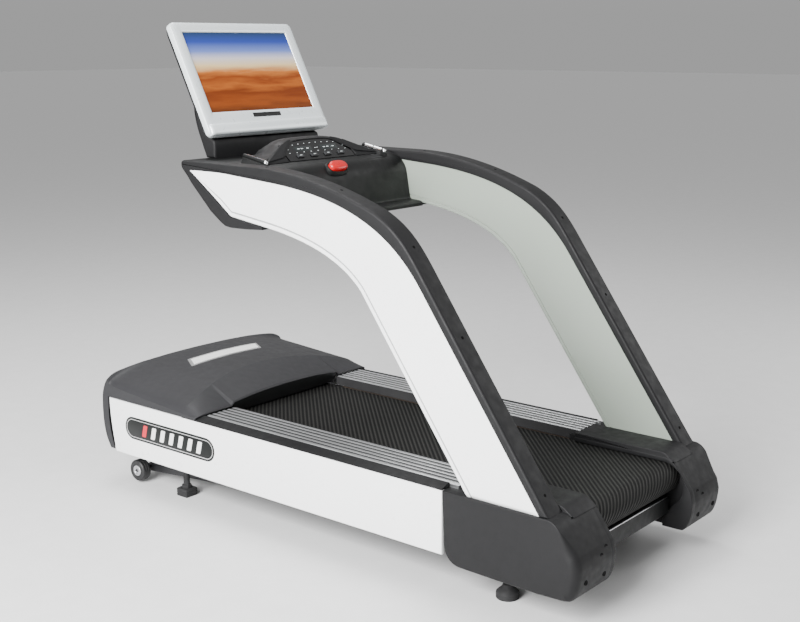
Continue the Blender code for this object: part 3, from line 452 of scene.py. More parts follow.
# Dark strips in the rail grooves, and painted shade on the edging of the rail's inner face.
RAIL_GROOVE_AND_SHADE = mottled("rail_groove_and_shade", srgb(30, 30, 31), 0.60, 0.0012, 0.00004, variety=0.15)
BADGE_BLACK = mottled(
    "badge_black", srgb(9, 12, 11), 0.32, 0.0015, 0.00002, variety=0.1, Specular_IOR_Level=0.3
)
BADGE_WHITE = mottled("badge_white", srgb(236, 236, 234), 0.35, 0.0015, 0.00002, variety=0.02)
BADGE_RED = mottled("badge_red", srgb(196, 22, 44), 0.32, 0.0015, 0.00002, variety=0.05)
BADGE_SILVER = brushed("badge_silver", (0.90, 0.90, 0.90), 0.30, 0, 0.00002)
print(len(FINISH), "named finishes")


# %% [markdown]
# The deck is a board of pressed layers, waxed dark, with a face grain that runs along the machine. The
# running belt is woven and coated. Its top is embossed with fine ribs that cross it on the slant, and between
# them is a tight weave. The ribs follow the belt round its rollers, so they read the belt's own map, in
# metres along the loop and across it, which is made with the belt.


# %% Deck board and running belt
def deck_board():
    """Waxed dark board: noise stretched along Y shifts the tone between two browns."""
    made = start_finish("deck_board", 0.45)
    grain = noise(made, 1.0, 6.0, stretch=(160, 7, 160))
    feed(made, "Base Color", ramp(made, grain, (0.3, srgb(44, 35, 28)), (0.7, srgb(66, 52, 40))))
    emboss(made, grain, 0.0001)
    return made


RIB_PITCH = 0.0140  # between the belt's slanted ribs, measured square to them


def belt_cover():
    """Slanted ribs: a sine wave across the belt's map turned by 45°, over a weave of two finer waves."""
    made = start_finish("running_belt", 0.66, Specular_IOR_Level=0.18)
    nodes, links = made.node_tree.nodes, made.node_tree.links
    waves = []
    for pitch, turn in ((RIB_PITCH, -45), (0.0021, 0), (0.0021, 90)):
        wave = nodes.new("ShaderNodeTexWave")
        wave.wave_type, wave.bands_direction, wave.wave_profile = "BANDS", "X", "SIN"
        wave.inputs["Scale"].default_value = math.pi / 10 / pitch
        links.new(place_of(made, turn=(0, 0, math.radians(turn)), source="UV"), wave.inputs["Vector"])
        waves.append(wave.outputs["Fac"])
    rib, warp, weft = waves
    worn = noise(made, 3.0, 5.0, stretch=(1.0, 0.35, 1.0))
    # Near black in the troughs between ribs and grey on their crests: painted shade keyed to the relief.
    tone = ramp(made, rib, (0.40, srgb(4, 4, 4)), (1.00, srgb(42, 42, 40)))
    dusty = ramp(made, worn, (0.35, (0.82, 0.82, 0.82, 1)), (0.7, (1, 1, 1, 1)))
    blend = nodes.new("ShaderNodeMix")
    blend.data_type, blend.blend_type = "RGBA", "MULTIPLY"
    blend.inputs["Factor"].default_value = 1.0
    links.new(tone, blend.inputs["A"])
    links.new(dusty, blend.inputs["B"])
    feed(made, "Base Color", blend.outputs["Result"])
    feed(made, "Roughness", spread(made, rib, 0.75, 0.58, 0.2, 0.8))
    emboss(made, rib, 0.0016)
    weave = nodes.new("ShaderNodeMath")
    weave.operation = "MAXIMUM"
    links.new(warp, weave.inputs[0])
    links.new(weft, weave.inputs[1])
    emboss(made, weave.outputs["Value"], 0.0001)
    return made


FINISH["screen_window"] = mottled(
    "screen_window", srgb(24, 30, 30), 0.10, 0.004, 0.00001, variety=0.1, Coat_Weight=0.5
)
FINISH["deck_board"] = deck_board()
FINISH["running_belt"] = belt_cover()
print("belt ribs every", round(1000 * RIB_PITCH, 2), "mm")

# %% [markdown]
# The screen is lit, and shows a plain landscape: a blue sky that pales towards the horizon, and dunes in
# bands of orange below it. Height up the picture comes from the screen's own map. Stretched noise bends the
# bands, so that they lie like ridges of sand one behind another.


# %% The picture on the screen
def screen_picture():
    """Sky and sand: a ramp up the picture, whose height is nudged by noise that is far wider than tall."""
    made = start_finish("screen_glass", 0.16, Specular_IOR_Level=0.25, Coat_Weight=0.2, Coat_Roughness=0.05)
    nodes, links = made.node_tree.nodes, made.node_tree.links
    split = nodes.new("ShaderNodeSeparateXYZ")
    links.new(place_of(made, source="UV"), split.inputs["Vector"])
    ridge = spread(made, noise(made, 1.0, 4.0, stretch=(2.2, 9.0, 1.0), source="UV"), -0.07, 0.07)
    below = spread(made, split.outputs["Y"], 1.0, 0.0, 0.40, 0.62)
    product, height = nodes.new("ShaderNodeMath"), nodes.new("ShaderNodeMath")
    product.operation, height.operation = "MULTIPLY", "ADD"
    links.new(ridge, product.inputs[0])
    links.new(below, product.inputs[1])
    links.new(product.outputs["Value"], height.inputs[0])
    links.new(split.outputs["Y"], height.inputs[1])
    picture = ramp(
        made,
        height.outputs["Value"],
        (0.00, srgb(84, 38, 6)),
        (0.12, srgb(120, 56, 12)),
        (0.24, srgb(98, 40, 4)),
        (0.33, srgb(146, 76, 22)),
        (0.42, srgb(112, 48, 6)),
        (0.50, srgb(160, 92, 36)),
        (0.58, srgb(196, 170, 124)),
        (0.67, srgb(176, 172, 176)),
        (0.76, srgb(92, 110, 168)),
        (0.88, srgb(38, 56, 134)),
        (1.00, srgb(30, 50, 78)),
    )
    feed(made, "Base Color", picture)
    feed(made, "Emission Color", picture)
    made.node_tree.nodes["Principled BSDF"].inputs["Emission Strength"].default_value = 0.4
    return made


FINISH["screen_glass"] = screen_picture()
print(len(FINISH), "named finishes with the deck, belt, window and picture")

# %% [markdown]
# ## Parts that keep the frame's mesh
#
# Rails, cross members, rollers, pulleys, the motor and the lift are plain tubes, plates and turned parts on
# the real machine too. Their meshes stay as they are and take the finish that the table below names for them.

# %% Finish every node of the frame
NODE_FINISH = {
    "frame_paint": ("chassis_rail", "arm_mount", "arm_core", "front_bearing", "rear_bearing", "lift_frame",
                    "middle_cross_member", "motor_pan"),
    "charcoal_moulding": ("end_cap", "arm_rim", "rear_cross_bar", "tv_back_shell", "tv_neck"),
    "white_panel": ("arm_inner_panel", "arm_outer_panel", "side_panel"),
    "bright_steel": ("drive_roller", "rear_roller", "motor_rotor", "lift_tube"),
    "foot_rubber": ("front_foot", "rear_foot_pad", "deck_cushion"),
    "motor_iron": ("drive_motor", "drive_pulley", "lift_motor"),
    "key_cap": ("speed_down_key", "stop_key", "start_key", "speed_up_key"),
    "key_sheet": ("key_panel", "power_switch"),
    "wheel_rubber": ("transport_wheel",),
    "hood_moulding": ("motor_hood",),
    "console_moulding": ("console_housing",),
    "rail_aluminium": ("side_rail",),
    "controller_case": ("motor_controller",),
    "grip_chrome": ("pulse_grip",),
    "stop_red": ("stop_button",),
    "bezel_silver": ("tv_bezel",),
    "screen_glass": ("tv_screen",),
    "deck_board": ("running_deck",),
    "running_belt": ("running_belt",),
    "drive_belt": ("drive_belt",),
}
finished = 0
for slot, kinds in NODE_FINISH.items():
    for kind in kinds:
        for node in (kind, kind + "_left", kind + "_right"):
            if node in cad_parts:
                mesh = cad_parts[node].data
                mesh.materials.clear()
                mesh.materials.append(FINISH[slot])
                finished += 1
print(finished, "of", len(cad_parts), "nodes finished")


# %% [markdown]
# ## The running belt
#
# The belt is a thin band round two rollers: half a turn round each, joined by two straight runs. That loop,
# carried across the width, is one closed surface with an outer and an inner side. Its map holds metres along
# the loop and across it. The slanted ribs have to meet where the loop closes, so the map's length is rounded
# to a whole number of ribs.

# %% Belt round its rollers
belt_low, belt_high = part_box("running_belt")
BELT_THICKNESS = 0.0025


def loop_round(radius, count=25):
    """Half turns of one radius at the rear and front ends of the belt's box, closed by straight runs."""
    middle = (belt_low.z + belt_high.z) / 2
    reach = (belt_high.z - belt_low.z) / 2
    rear, front = belt_low.y + reach - y(0), belt_high.y - reach - y(0)
    under = np.stack((np.linspace(rear, front, 40), np.full(40, middle - radius)), axis=1)
    over = np.stack((np.linspace(front, rear, 40), np.full(40, middle + radius)), axis=1)
    turns = [
        arc(place, middle, radius, start, start + 180, count) for place, start in ((front, -90), (rear, 90))
    ]
    return line(under, turns[0], over, turns[1])[:-1]


def put_map(made, along, across, columns):
    """Gives a wrapped grid its map: row r of the grid is at along[r], and column c at across[c]. The last
    row meets the first again, so a face that spans the seam uses along's extra, final value."""
    mesh = made.data
    index = np.empty(len(mesh.loops), np.int32)
    mesh.loops.foreach_get("vertex_index", index)
    row, column = (part.reshape(-1, 4) for part in np.divmod(index, columns))
    seam = (row.max(1) - row.min(1) > 1)[:, None] & (row == 0)
    row = np.where(seam, len(along) - 1, row)
    layer = mesh.uv_layers.new(name="surface")
    layer.data.foreach_set("uv", np.stack((along[row], across[column]), axis=-1).ravel())


def make_belt():
    """Grid of loop points against lines across: both faces and the two cut edges, closed both ways."""
    reach = (belt_high.z - belt_low.z) / 2
    outer, inner = loop_round(reach), loop_round(reach - BELT_THICKNESS)
    across = np.linspace(belt_low.x, belt_high.x, 7)
    across = np.concatenate((across, across[::-1]))
    lines = [from_side(outer if index < 7 else inner, x) for index, x in enumerate(across)]
    made = piece(
        "running_belt_cover",
        [patch(np.stack(lines, axis=1), True, True)],
        FINISH["running_belt"],
        replaces=["running_belt"],
    )
    steps = np.linalg.norm(np.roll(outer, -1, axis=0) - outer, axis=1)
    along = np.concatenate(([0.0], np.cumsum(steps)))
    slant = RIB_PITCH * math.sqrt(2)
    along *= round(along[-1] / slant) * slant / along[-1]
    put_map(made, along, across, len(across))
    return along[-1]


print("belt loop", round(make_belt(), 3), "m")
report()

# %% [markdown]
# ## Step rails and the strips beside them
#
# The runner stands astride the belt on two aluminium extrusions. Their tops have six raised ribs, and a dark
# strip is let into each groove between them. An extrusion is one section carried in a straight line, so its
# shape is a single function: height over the width is a row of flat-topped ribs, made from a cosine that is
# steepened and clipped. A dark edging covers the rail's inner edge beside the belt; its dark is painted shade
# for the gap between rail and belt. Between each rail and the white side panel runs a charcoal strip that
# slopes down to the panel's top edge.

# %% Ribbed extrusions
RIBS = 6
STRIP_REAR, STRIP_FRONT, STRIP_LOW, STRIP_EDGE = 0.4455, 1.62, 0.3303, 0.4596


def rib_height(share, sharpness=2.6):
    """0 in a groove, 1 on a rib: half of 1 − cos(2π · ribs · share), stretched about its middle, clipped."""
    wave = (1 - np.cos(2 * math.pi * RIBS * share)) / 2
    return np.clip((wave - 0.5) * sharpness + 0.5 + 0.1, 0, 1)


def make_rail(side_name, side):
    """Ribbed top, plain underside, the skirt beside the belt, dark groove strips, painted shade on the inner
    face and the charcoal strip.
    """
    low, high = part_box("side_rail_" + side_name)
    inner, outer = (low.x, high.x) if side > 0 else (high.x, low.x)
    share = np.linspace(0, 1, 169)
    depth, skirt = 0.0042, 0.005
    top = np.stack((inner + (outer - inner) * share, high.z - depth * (1 - rib_height(share))), axis=1)
    turn = inner + side * skirt
    under = run((outer, STRIP_LOW), (turn, STRIP_LOW), (turn, low.z), (inner, low.z))
    section = line(top, under)
    piece(
        "side_rail_" + side_name + "_extrusion",
        [carried(section, (0, low.y, 0), (0, high.y, 0))],
        FINISH["rail_aluminium"],
        replaces=["side_rail_" + side_name],
    )
    lines = []
    half, rise = 0.0062, high.z - 0.0014
    for index in range(1, RIBS):
        x = inner + (outer - inner) * index / RIBS
        groove = run((x - half, rise - 0.001), (x + half, rise - 0.001), (x + half, rise), (x - half, rise))
        lines.append(carried(groove, (0, low.y + 0.001, 0), (0, high.y - 0.001, 0)))
    # Dark edging on the rail's inner face: painted shade for the gap between rail and belt.
    face = inner - side * 0.0008
    buried = inner + side * 0.001
    painted_light_strip = run((face, low.z), (buried, low.z), (buried, high.z - 0.001), (face, high.z - 0.002))
    lines.append(carried(painted_light_strip, (0, low.y + 0.001, 0), (0, high.y - 0.001, 0)))
    piece("side_rail_" + side_name + "_grooves_and_shade", lines, RAIL_GROOVE_AND_SHADE)
    edge, beside = side * STRIP_EDGE, outer + side * 0.0006
    strip = run(
        (beside, 0.3306), (beside, high.z - 0.0015), (outer + side * 0.0022, high.z),
        (outer + side * 0.0100, high.z), (edge - side * 0.0030, 0.3350), (edge, 0.3336), (edge, 0.3306),
    )
    piece(
        "side_strip_" + side_name,
        [carried(strip, (0, y(STRIP_REAR), 0), (0, y(STRIP_FRONT), 0))],
        FINISH["charcoal_moulding"],
    )


for side_name, side in SIDES.items():
    make_rail(side_name, side)
report()

# %% [markdown]
# ## Rear end caps
#
# Each cap is a moulded shell over the end of the rail. Seen from the side it has a flat top, a slope down to
# a rounded tail, and a curved lower corner. Seen from behind, its outer corner has a generous round, which
# makes the face beside the belt look turned rather than sawn. The cap is built as a slab whose quarter round
# is wide along the tail and narrow elsewhere. A second, thinner slab carries the round mouth that the belt
# passes through, and a third is the raised step beside the rail. Screws sit in small dark wells.

# %% End caps
CAP_TAIL = line(
    bezier((0.0, 0.096), (-0.022, 0.104), (-0.033, 0.155), (-0.033, 0.196), 14),
    run((-0.0245, 0.229)),
    bezier((-0.0200, 0.236), (-0.006, 0.257), (0.012, 0.282), (0.030, 0.306), 6),
    bezier((0.030, 0.306), (0.040, 0.319), (0.054, 0.3300), (0.075, 0.3300), 8),
    run((0.20, 0.3300), (0.32, 0.3300)),
)
CAP_OUTLINE = line(
    run((0.444, 0.3300), (0.444, 0.310), (0.439, 0.238), (0.435, 0.158)),
    arc(0.378, 0.155, 0.057, -15, -90, 10),
    run((0.30, 0.0965), (0.20, 0.0955), (0.10, 0.0950), (0.012, 0.095)),
    CAP_TAIL,
)
tail = np.clip((0.030 - CAP_OUTLINE[:, 0]) / 0.04, 0, 1)
low_edge = np.clip((0.16 - CAP_OUTLINE[:, 1]) / 0.06, 0, 1)
CAP_ROUND = 0.0035 + 0.0265 * tail + 0.006 * low_edge * (1 - tail)
MOUTH_OUTLINE = line(
    run((0.4110, 0.3300), (0.4110, 0.3135), (0.30, 0.3135), (0.20, 0.3135)),
    arc(0.078, 0.2385, 0.075, 90, 235, 28),
    run((0.052, 0.150), (0.071, 0.120), (0.071, 0.0952), (0.012, 0.0952)),
    CAP_TAIL,
)
COVER_OUTLINE = filleted(
    ((0.036, 0.318), (0.075, 0.3455), (0.4110, 0.3455), (0.4110, 0.318)), (0.001, 0.012, 0.003, 0.001)
)


def well(centre, axis, radius=0.0080, depth=0.0004):
    """A well with the rim of a screw head in it: a shallow turned disc just proud of the face. Its callers
    give it near-black, painted shade for the inside of the well.
    """
    profile = (
        (-0.002, 0), (-0.002, radius), (depth, radius), (depth, radius * 0.62),
        (depth * 0.3, radius * 0.55), (depth * 0.3, 0),
    )
    return turned(profile, centre, axis, 20)


def make_cap(side_name, side):
    """Outer slab up to the mouth wall, the mouth wall, and the raised step over the belt's edge."""
    low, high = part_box("end_cap_" + side_name)
    outer, inner = (high.x, low.x) if side > 0 else (low.x, high.x)
    mouth = inner + side * 0.0225
    piece(
        "end_cap_" + side_name + "_shell",
        [
            slab(CAP_OUTLINE, mouth - side * 0.0005, outer, 0.0004, CAP_ROUND, 8),
            slab(MOUTH_OUTLINE, inner, mouth, 0.0030, 0.0002, 5),
            slab(COVER_OUTLINE, inner + side * 0.0010, side * 0.3740, 0.0030, 0.0030, 5),
        ],
        FINISH["charcoal_moulding"],
        replaces=["end_cap_" + side_name],
    )
    back = (0, -1, 0)
    places = ((0.292, 0.222), (0.322, 0.205), (0.300, 0.142), (0.405, 0.150))
    wells = []
    for x, height in places:
        station = np.interp(height, (0.104, 0.155, 0.196, 0.229), (-0.020, -0.0320, -0.0330, -0.0245))
        wells.append(well((side * x, y(station) + 0.0004, height), back))
    # The wells' near-black is painted shade.
    piece("end_cap_" + side_name + "_screws", wells, DARK_RECESS)


for side_name, side in SIDES.items():
    make_cap(side_name, side)
print("cap outline", len(CAP_OUTLINE), "points")
report()

# %% [markdown]
# ## Side panels
#
# A long white sheet closes each side of the base. It is a slab with a small round on its outer edges. Near
# the front it carries a black badge with round ends. The badge's lettering isn't reproduced: a silver line
# just inside the rim and a row of slanted bars, the first one red, keep its weight and colour.

# %% Panels and their badges
PANEL_FACE = 0.4590
BADGE_FACE = 0.4600


def stadium(rear, front, low, high, count=15):
    """Two half circles joined by straight lines."""
    radius = (high - low) / 2
    middle = (high + low) / 2
    front_end = arc(front - radius, middle, radius, -90, 90, count)
    rear_end = arc(rear + radius, middle, radius, 90, 270, count)
    return line(front_end, rear_end)


def make_side_panel(side_name, side):
    """White panel, black badge, its silver line as a thin ring, and the slanted bars."""
    low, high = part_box("side_panel_" + side_name)
    inner = low.x if side > 0 else high.x
    outline = line(
        run((0.4450, low.z), (0.80, low.z), (1.20, low.z), (1.60, low.z), (1.90, low.z)),
        bezier((2.004, low.z), (2.020, 0.19), (2.032, 0.26), (2.032, high.z), 16),
        run((1.60, high.z), (1.20, high.z), (0.80, high.z), (0.4450, high.z)),
    )
    piece(
        "side_panel_" + side_name + "_sheet",
        [slab(outline, inner, side * PANEL_FACE, 0.0005, 0.0045, 6)],
        FINISH["white_panel"],
        replaces=["side_panel_" + side_name],
    )
    plate = stadium(1.450, 1.940, 0.193, 0.279)
    piece(
        "side_badge_" + side_name,
        [slab(plate, side * (PANEL_FACE - 0.002), side * (BADGE_FACE - 0.0003), 0.0, 0.0004, 3)],
        BADGE_BLACK,
    )
    outer, inner_line = stadium(1.458, 1.932, 0.201, 0.271), stadium(1.4605, 1.9295, 0.2035, 0.2685)
    ring = [from_side(outer, side * x) for x in (PANEL_FACE, BADGE_FACE - 0.0001)]
    ring += [from_side(inner_line, side * x) for x in (BADGE_FACE - 0.0001, PANEL_FACE)]
    edge_line = patch(np.array(ring), True, True)
    piece("side_badge_" + side_name + "_line", [edge_line], BADGE_SILVER)
    bars = []
    slant, width, pitch, count = 0.012, 0.022, 0.0497, 7
    for index in range(count):
        rear = 1.525 + pitch * index
        low_edge, high_edge = (rear, rear + width), (rear - slant, rear + width - slant)
        corners = ((low_edge[0], 0.213), (low_edge[1], 0.213), (high_edge[1], 0.259), (high_edge[0], 0.259))
        bars.append(slab(filleted(corners, 0.004, 4), side * PANEL_FACE, side * BADGE_FACE, 0.0, 0.0002, 2))
    piece("side_badge_" + side_name + "_bars", bars[:-1], BADGE_WHITE)
    piece("side_badge_" + side_name + "_red_bar", bars[-1:], BADGE_RED)


for side_name, side in SIDES.items():
    make_side_panel(side_name, side)
report()

# %% [markdown]
# ## Motor hood
#
# The hood is one thin moulding. A few rows of points describe it, each running from the middle to the side
# edge: the arched rear edge, the ridge where the rear slope meets the top, two rows over the top, and six
# down the nose. A Catmull-Rom curve passes through its points, so a smooth surface grows from the rows by
# curving first along them and then from row to row. Where the real moulding has a crease, the curve is
# split, which leaves the corner sharp.


# %% Smooth surface through rows of points
def through(points, steps, corners=()):
    """Catmull-Rom curves along the first direction of an array. Between p1 and p2 the curve is half of
    2p1 + (p2 − p0)t + (2p0 − 5p1 + 4p2 − p3)t² + (3p1 − p0 − 3p2 + p3)t³. At a corner the neighbour beyond
    is replaced by the corner itself, so the curve doesn't round it."""
    last = len(points) - 1
    stops = {0, last, *corners}
    t = np.arange(steps).reshape(-1, *(1,) * (points.ndim - 1)) / steps
    pieces = []
    for index in range(last):
        p1, p2 = points[index], points[index + 1]
        p0 = p1 if index in stops else points[index - 1]
        p3 = p2 if index + 1 in stops else points[index + 2]
        square, cube = 2 * p0 - 5 * p1 + 4 * p2 - p3, 3 * p1 - p0 - 3 * p2 + p3
        pieces.append((2 * p1 + (p2 - p0) * t + square * t**2 + cube * t**3) / 2)
    return np.concatenate([*pieces, points[-1:]])


HOOD_STEPS = 8  # points between one row and the next
HOOD_X = (0.0, 0.15, 0.278, 0.290, 0.36, 0.42, 0.448, 0.4600, 0.4600)
HOOD_TOP = (
    (1.536, (0, 0, 0, 0, 0, 0, 0.004, 0.010, 0.010),
     (0.378, 0.374, 0.362, 0.3505, 0.3505, 0.3500, 0.346, 0.342, 0.3335)),
    (1.700, (0, -0.015, -0.045, -0.050, -0.070, -0.085, -0.090, -0.090, -0.090),
     (0.431, 0.426, 0.411, 0.408, 0.393, 0.377, 0.361, 0.346, 0.3335)),
    (1.880, (0,) * 9, (0.440, 0.436, 0.425, 0.423, 0.410, 0.395, 0.382, 0.367, 0.3335)),
    (2.010, (0,) * 9, (0.447, 0.443, 0.432, 0.430, 0.418, 0.404, 0.393, 0.379, 0.3335)),
)
HOOD_NOSE = (
    ((2.048, 0.4360), (2.030, 0.3940), (2.0300, 0.3335)),
    ((2.074, 0.4000), (2.050, 0.3820), (2.0360, 0.3335)),
    ((2.085, 0.3400), (2.069, 0.3340), (2.0375, 0.3180)),
    ((2.080, 0.2450), (2.070, 0.2450), (2.0375, 0.2450)),
    ((2.068, 0.1800), (2.058, 0.1800), (2.0260, 0.1800)),
    ((2.040, 0.1320), (2.033, 0.1320), (2.0100, 0.1320)),
)


def hood_rows():
    """Rows of (x, station, height): the top rows as given, and nose rows blended from middle to corner."""
    rows = [
        [(x, base + shift, height) for x, shift, height in zip(HOOD_X, shifts, heights)]
        for base, shifts, heights in HOOD_TOP
    ]
    for middle, corner, edge in HOOD_NOSE:
        middle, corner = np.array(middle), np.array(corner)
        shares = [(x / HOOD_X[-1]) ** 4 * 0.6 for x in HOOD_X[:6]] + [0.75]
        row = [(x, *(middle + (corner - middle) * share)) for x, share in zip((*HOOD_X[:6], 0.452), shares)]
        rows.append([*row, (HOOD_X[-1], *corner), (HOOD_X[-1], *edge)])
    return np.array(rows)


def hood_surface(steps=HOOD_STEPS):
    """The half hood, curved along each row and then from row to row, and mirrored about the middle."""
    rows = hood_rows()
    curved = through(rows.transpose(1, 0, 2), steps, (2, 3, 7)).transpose(1, 0, 2)
    half = through(curved, steps, (1,))
    half[..., 1] = np.minimum(half[..., 1], 2.085)
    half[..., 0] = np.clip(half[..., 0], 0, HOOD_X[-1])
    other = half[:, :0:-1] * (-1, 1, 1)
    grid = np.concatenate((other, half), axis=1)
    grid[..., 1] = y(grid[..., 1])
    return grid


hood_grid = hood_surface()
hood_cover = piece(
    "motor_hood_cover",
    [patch(hood_grid)],
    FINISH["hood_moulding"],
    replaces=["motor_hood"],
    outward=(0, 0, 1),
    sharp=12,
)
wall(hood_cover, 0.004)
print("hood grid", hood_grid.shape[:2])
report()


def hood_height(x, station):
    """Height of the hood's top: the nearest curved row's points, read off at x, blended between two rows."""
    heights, stations = [], []
    for row in hood_grid[: HOOD_STEPS * (len(HOOD_TOP) - 1) + 1]:
        inside = np.abs(row[:, 0]) < 0.42
        order = np.argsort(row[inside, 0])
        heights.append(np.interp(x, row[inside, 0][order], row[inside, 2][order]))
        stations.append(np.interp(x, row[inside, 0][order], row[inside, 1][order]))
    heights, stations = np.array(heights), np.array(stations)
    return np.array([np.interp(y(s), stations[:, i], heights[:, i]) for i, s in enumerate(np.ravel(station))])


# %% [markdown]
# Two things finish the hood. A blank silver badge with slanted ends lies on its top and follows the surface,
# so its grid takes its height from the hood itself. Under the arched rear edge, a lip closes the gap above
# the belt, as on a real hood, where it keeps shoes and dust out of the drive. It takes the console's
# near-black moulding rather than the hood's grey, and that darkness is painted shade for the hollow under the
# hood.

# %% Hood badge and rear lip
def lies_on_hood(outline_low, outline_high, lift, count=(33, 7)):
    """A grid between two edges of (x, station), each point lifted above the hood's height there."""
    share = np.linspace(0, 1, count[1])[:, None, None]
    low, high = even(outline_low, count[0]), even(outline_high, count[0])
    flat = low[None] * (1 - share) + high[None] * share
    x, station = flat[..., 0].ravel(), flat[..., 1].ravel()
    points = np.stack((x, y(station), hood_height(x, station) + lift), axis=-1)
    return points.reshape(*flat.shape[:2], 3)


def plate_on_hood(low, high, lift, thickness):
    """Upper and lower grids joined round their edge, with the lower one's rows in reverse order."""
    upper, lower = lies_on_hood(low, high, lift), lies_on_hood(low, high, lift - thickness)
    grid = np.concatenate((upper, lower[::-1]), axis=0)
    sides = [np.stack((upper[:, column], lower[:, column])) for column in (0, -1)]
    return [patch(grid, wrap_rows=True), *(patch(side) for side in sides)]


badge_low = run((-0.205, 1.846), (0.165, 1.846))
badge_high = run((-0.165, 1.916), (0.205, 1.916))
piece("hood_badge", plate_on_hood(badge_low, badge_high, 0.0016, 0.003), BADGE_SILVER)
inset_low = run((-0.185, 1.855), (0.160, 1.855))
inset_high = run((-0.155, 1.907), (0.190, 1.907))
badge_field = plate_on_hood(inset_low, inset_high, 0.0021, 0.002)
piece("hood_badge_field", badge_field, BADGE_WHITE)

LIP_POINTS = 41
lip_x = np.linspace(-0.2765, 0.2765, LIP_POINTS)
rear_row = hood_grid[0]
lip_top = np.interp(lip_x, rear_row[:, 0], rear_row[:, 2]) - 0.0042
lip_foot = np.full(LIP_POINTS, 0.3200)
lip = [
    np.stack((lip_x, np.full(LIP_POINTS, y(station)), height), axis=1)
    for station, height in (
        (1.5385, lip_top), (1.5385, lip_top - 0.010), (1.552, lip_foot), (1.556, lip_foot),
        (1.5425, lip_top - 0.010), (1.5425, lip_top),
    )
]
lip_ends = [patch(np.array([[row[i] for row in lip[:3]], [row[i] for row in lip[:2:-1]]])) for i in (0, -1)]
# The lip is the console's near-black rather than the hood's grey: that darkness is painted shade for the
# hollow under the hood.
piece(
    "hood_rear_lip", [patch(np.array(lip), wrap_rows=True), *lip_ends], FINISH["console_moulding"],
)
report()

# %% [markdown]
# ## Swept arms
#
# Each arm is a charcoal rim along its rear edge and two pressed white covers, which meet in a fine seam along
# the front. From the side it rises from the end cap in a straight line, sweeps over into a nearly level hand
# rest, and ends in a pointed nose that leans back down to the underside. The same three lines shape all of
# it: the rear edge, the border between rim and white cover, and the front edge.

# %% The three lines of an arm
ARM_BASE = 0.3303
ARM_SEAM = 0.414
rim_low, rim_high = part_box("arm_rim_right")
ARM_INNER, ARM_OUTER = rim_low.x, rim_high.x

rear_edge = line(
    even(run((0.072, ARM_BASE), (0.541, 0.987)), 30),
    bezier((0.541, 0.987), (0.600, 1.069), (0.640, 1.108), (0.720, 1.146), 16),
    bezier((0.720, 1.146), (0.88, 1.208), (1.05, 1.25), (1.25, 1.25), 28),
    even(run((1.25, 1.25), (1.562, 1.2505)), 10),
    arc(1.570, 1.2385, 0.012, 90, -4, 8),
)
border = line(
    even(run((0.103, ARM_BASE), (0.535, 0.932)), 30),
    bezier((0.535, 0.932), (0.64, 1.078), (0.80, 1.178), (1.15, 1.205), 40),
    even(run((1.15, 1.205), (1.383, 1.222), (1.538, 1.222)), 12),
)
front_edge = line(
    even(run((0.363, ARM_BASE), (0.77, 0.893)), 30),
    bezier((0.77, 0.893), (0.85, 0.985), (1.0, 1.035), (1.21, 1.060), 36),
    even(run((1.21, 1.060), (1.343, 1.078)), 6),
)
nose = run(
    (1.534, 1.180), (1.486, 1.134), (1.439, 1.089), (1.391, 1.056), (1.369, 1.0445), (1.343, 1.041),
    (1.271, 1.0425), (1.192, 1.0480), (1.192, 1.0560), (1.2145, 1.0595),
)
print("arm lines", len(rear_edge), len(border), len(front_edge))


# %% Rims
def make_rim(side_name, side):
    """A slab along the arm: wide rounds where a hand runs over it, a hairline where it meets the covers."""
    under = run((1.343, 1.0772), (1.5382, 1.2212))
    back = border[::-1]
    outline = np.vstack((rear_edge, nose, under, back[1:]))
    rounds = np.concatenate(
        (np.full(len(rear_edge), 0.0095), np.full(7, 0.0050), np.full(3, 0.0012),
         np.full(len(under) + len(back) - 1, 0.0010))
    )
    inner, outer = side * ARM_INNER, side * ARM_OUTER
    piece(
        "arm_rim_" + side_name + "_moulding",
        [slab(outline, inner, outer, rounds, rounds, 7)],
        FINISH["charcoal_moulding"],
        replaces=["arm_rim_" + side_name],
    )
    middle = side * (ARM_INNER + ARM_OUTER) / 2
    reach = even(rear_edge, 400)
    ahead = np.gradient(reach, axis=0)
    heads = []
    for share in (0.035, 0.30, 0.46, 0.63, 0.80):
        index = int(share * 399)
        station, height = reach[index]
        out = np.array((0, -ahead[index][1], ahead[index][0]))
        out /= np.linalg.norm(out)
        heads.append(well(np.array((middle, y(station), height)) + out * 0.0002, out, 0.0050))
    # The wells' near-black is painted shade.
    piece("arm_rim_" + side_name + "_screws", heads, DARK_RECESS)


for side_name, side in SIDES.items():
    make_rim(side_name, side)
report()

# %% [markdown]
# A cover is a thin pressed sheet. Its edge rolls through a quarter circle from the side face to the seam in
# the middle of the arm's front, and a fine groove follows the edge a finger's width in. The sheet is a
# grid: one direction runs along the arm, the other across it. Across, the first points sit at fixed distances
# square to the front edge, and the rest divide what is left up to the border. Where the cover narrows to its
# point, those distances shrink with it. A wall of 2.5 mm then makes it a solid sheet. On the outer covers a
# grey ribbon of its own, laid just above the groove's bottom, is painted shade in the groove. The inner
# covers are a darker grey-green copy of the white paint, which is painted shade.

# %% White covers
COVER_ROUND = 0.0075


def smoothed(vectors, passes=14):
    """Each vector replaced by the mean of itself and its neighbours, several times over."""
    for _ in range(passes):
        padded = np.concatenate((vectors[:1], vectors, vectors[-1:]))
        vectors = (padded[:-2] + padded[1:-1] * 2 + padded[2:]) / 4
    return vectors


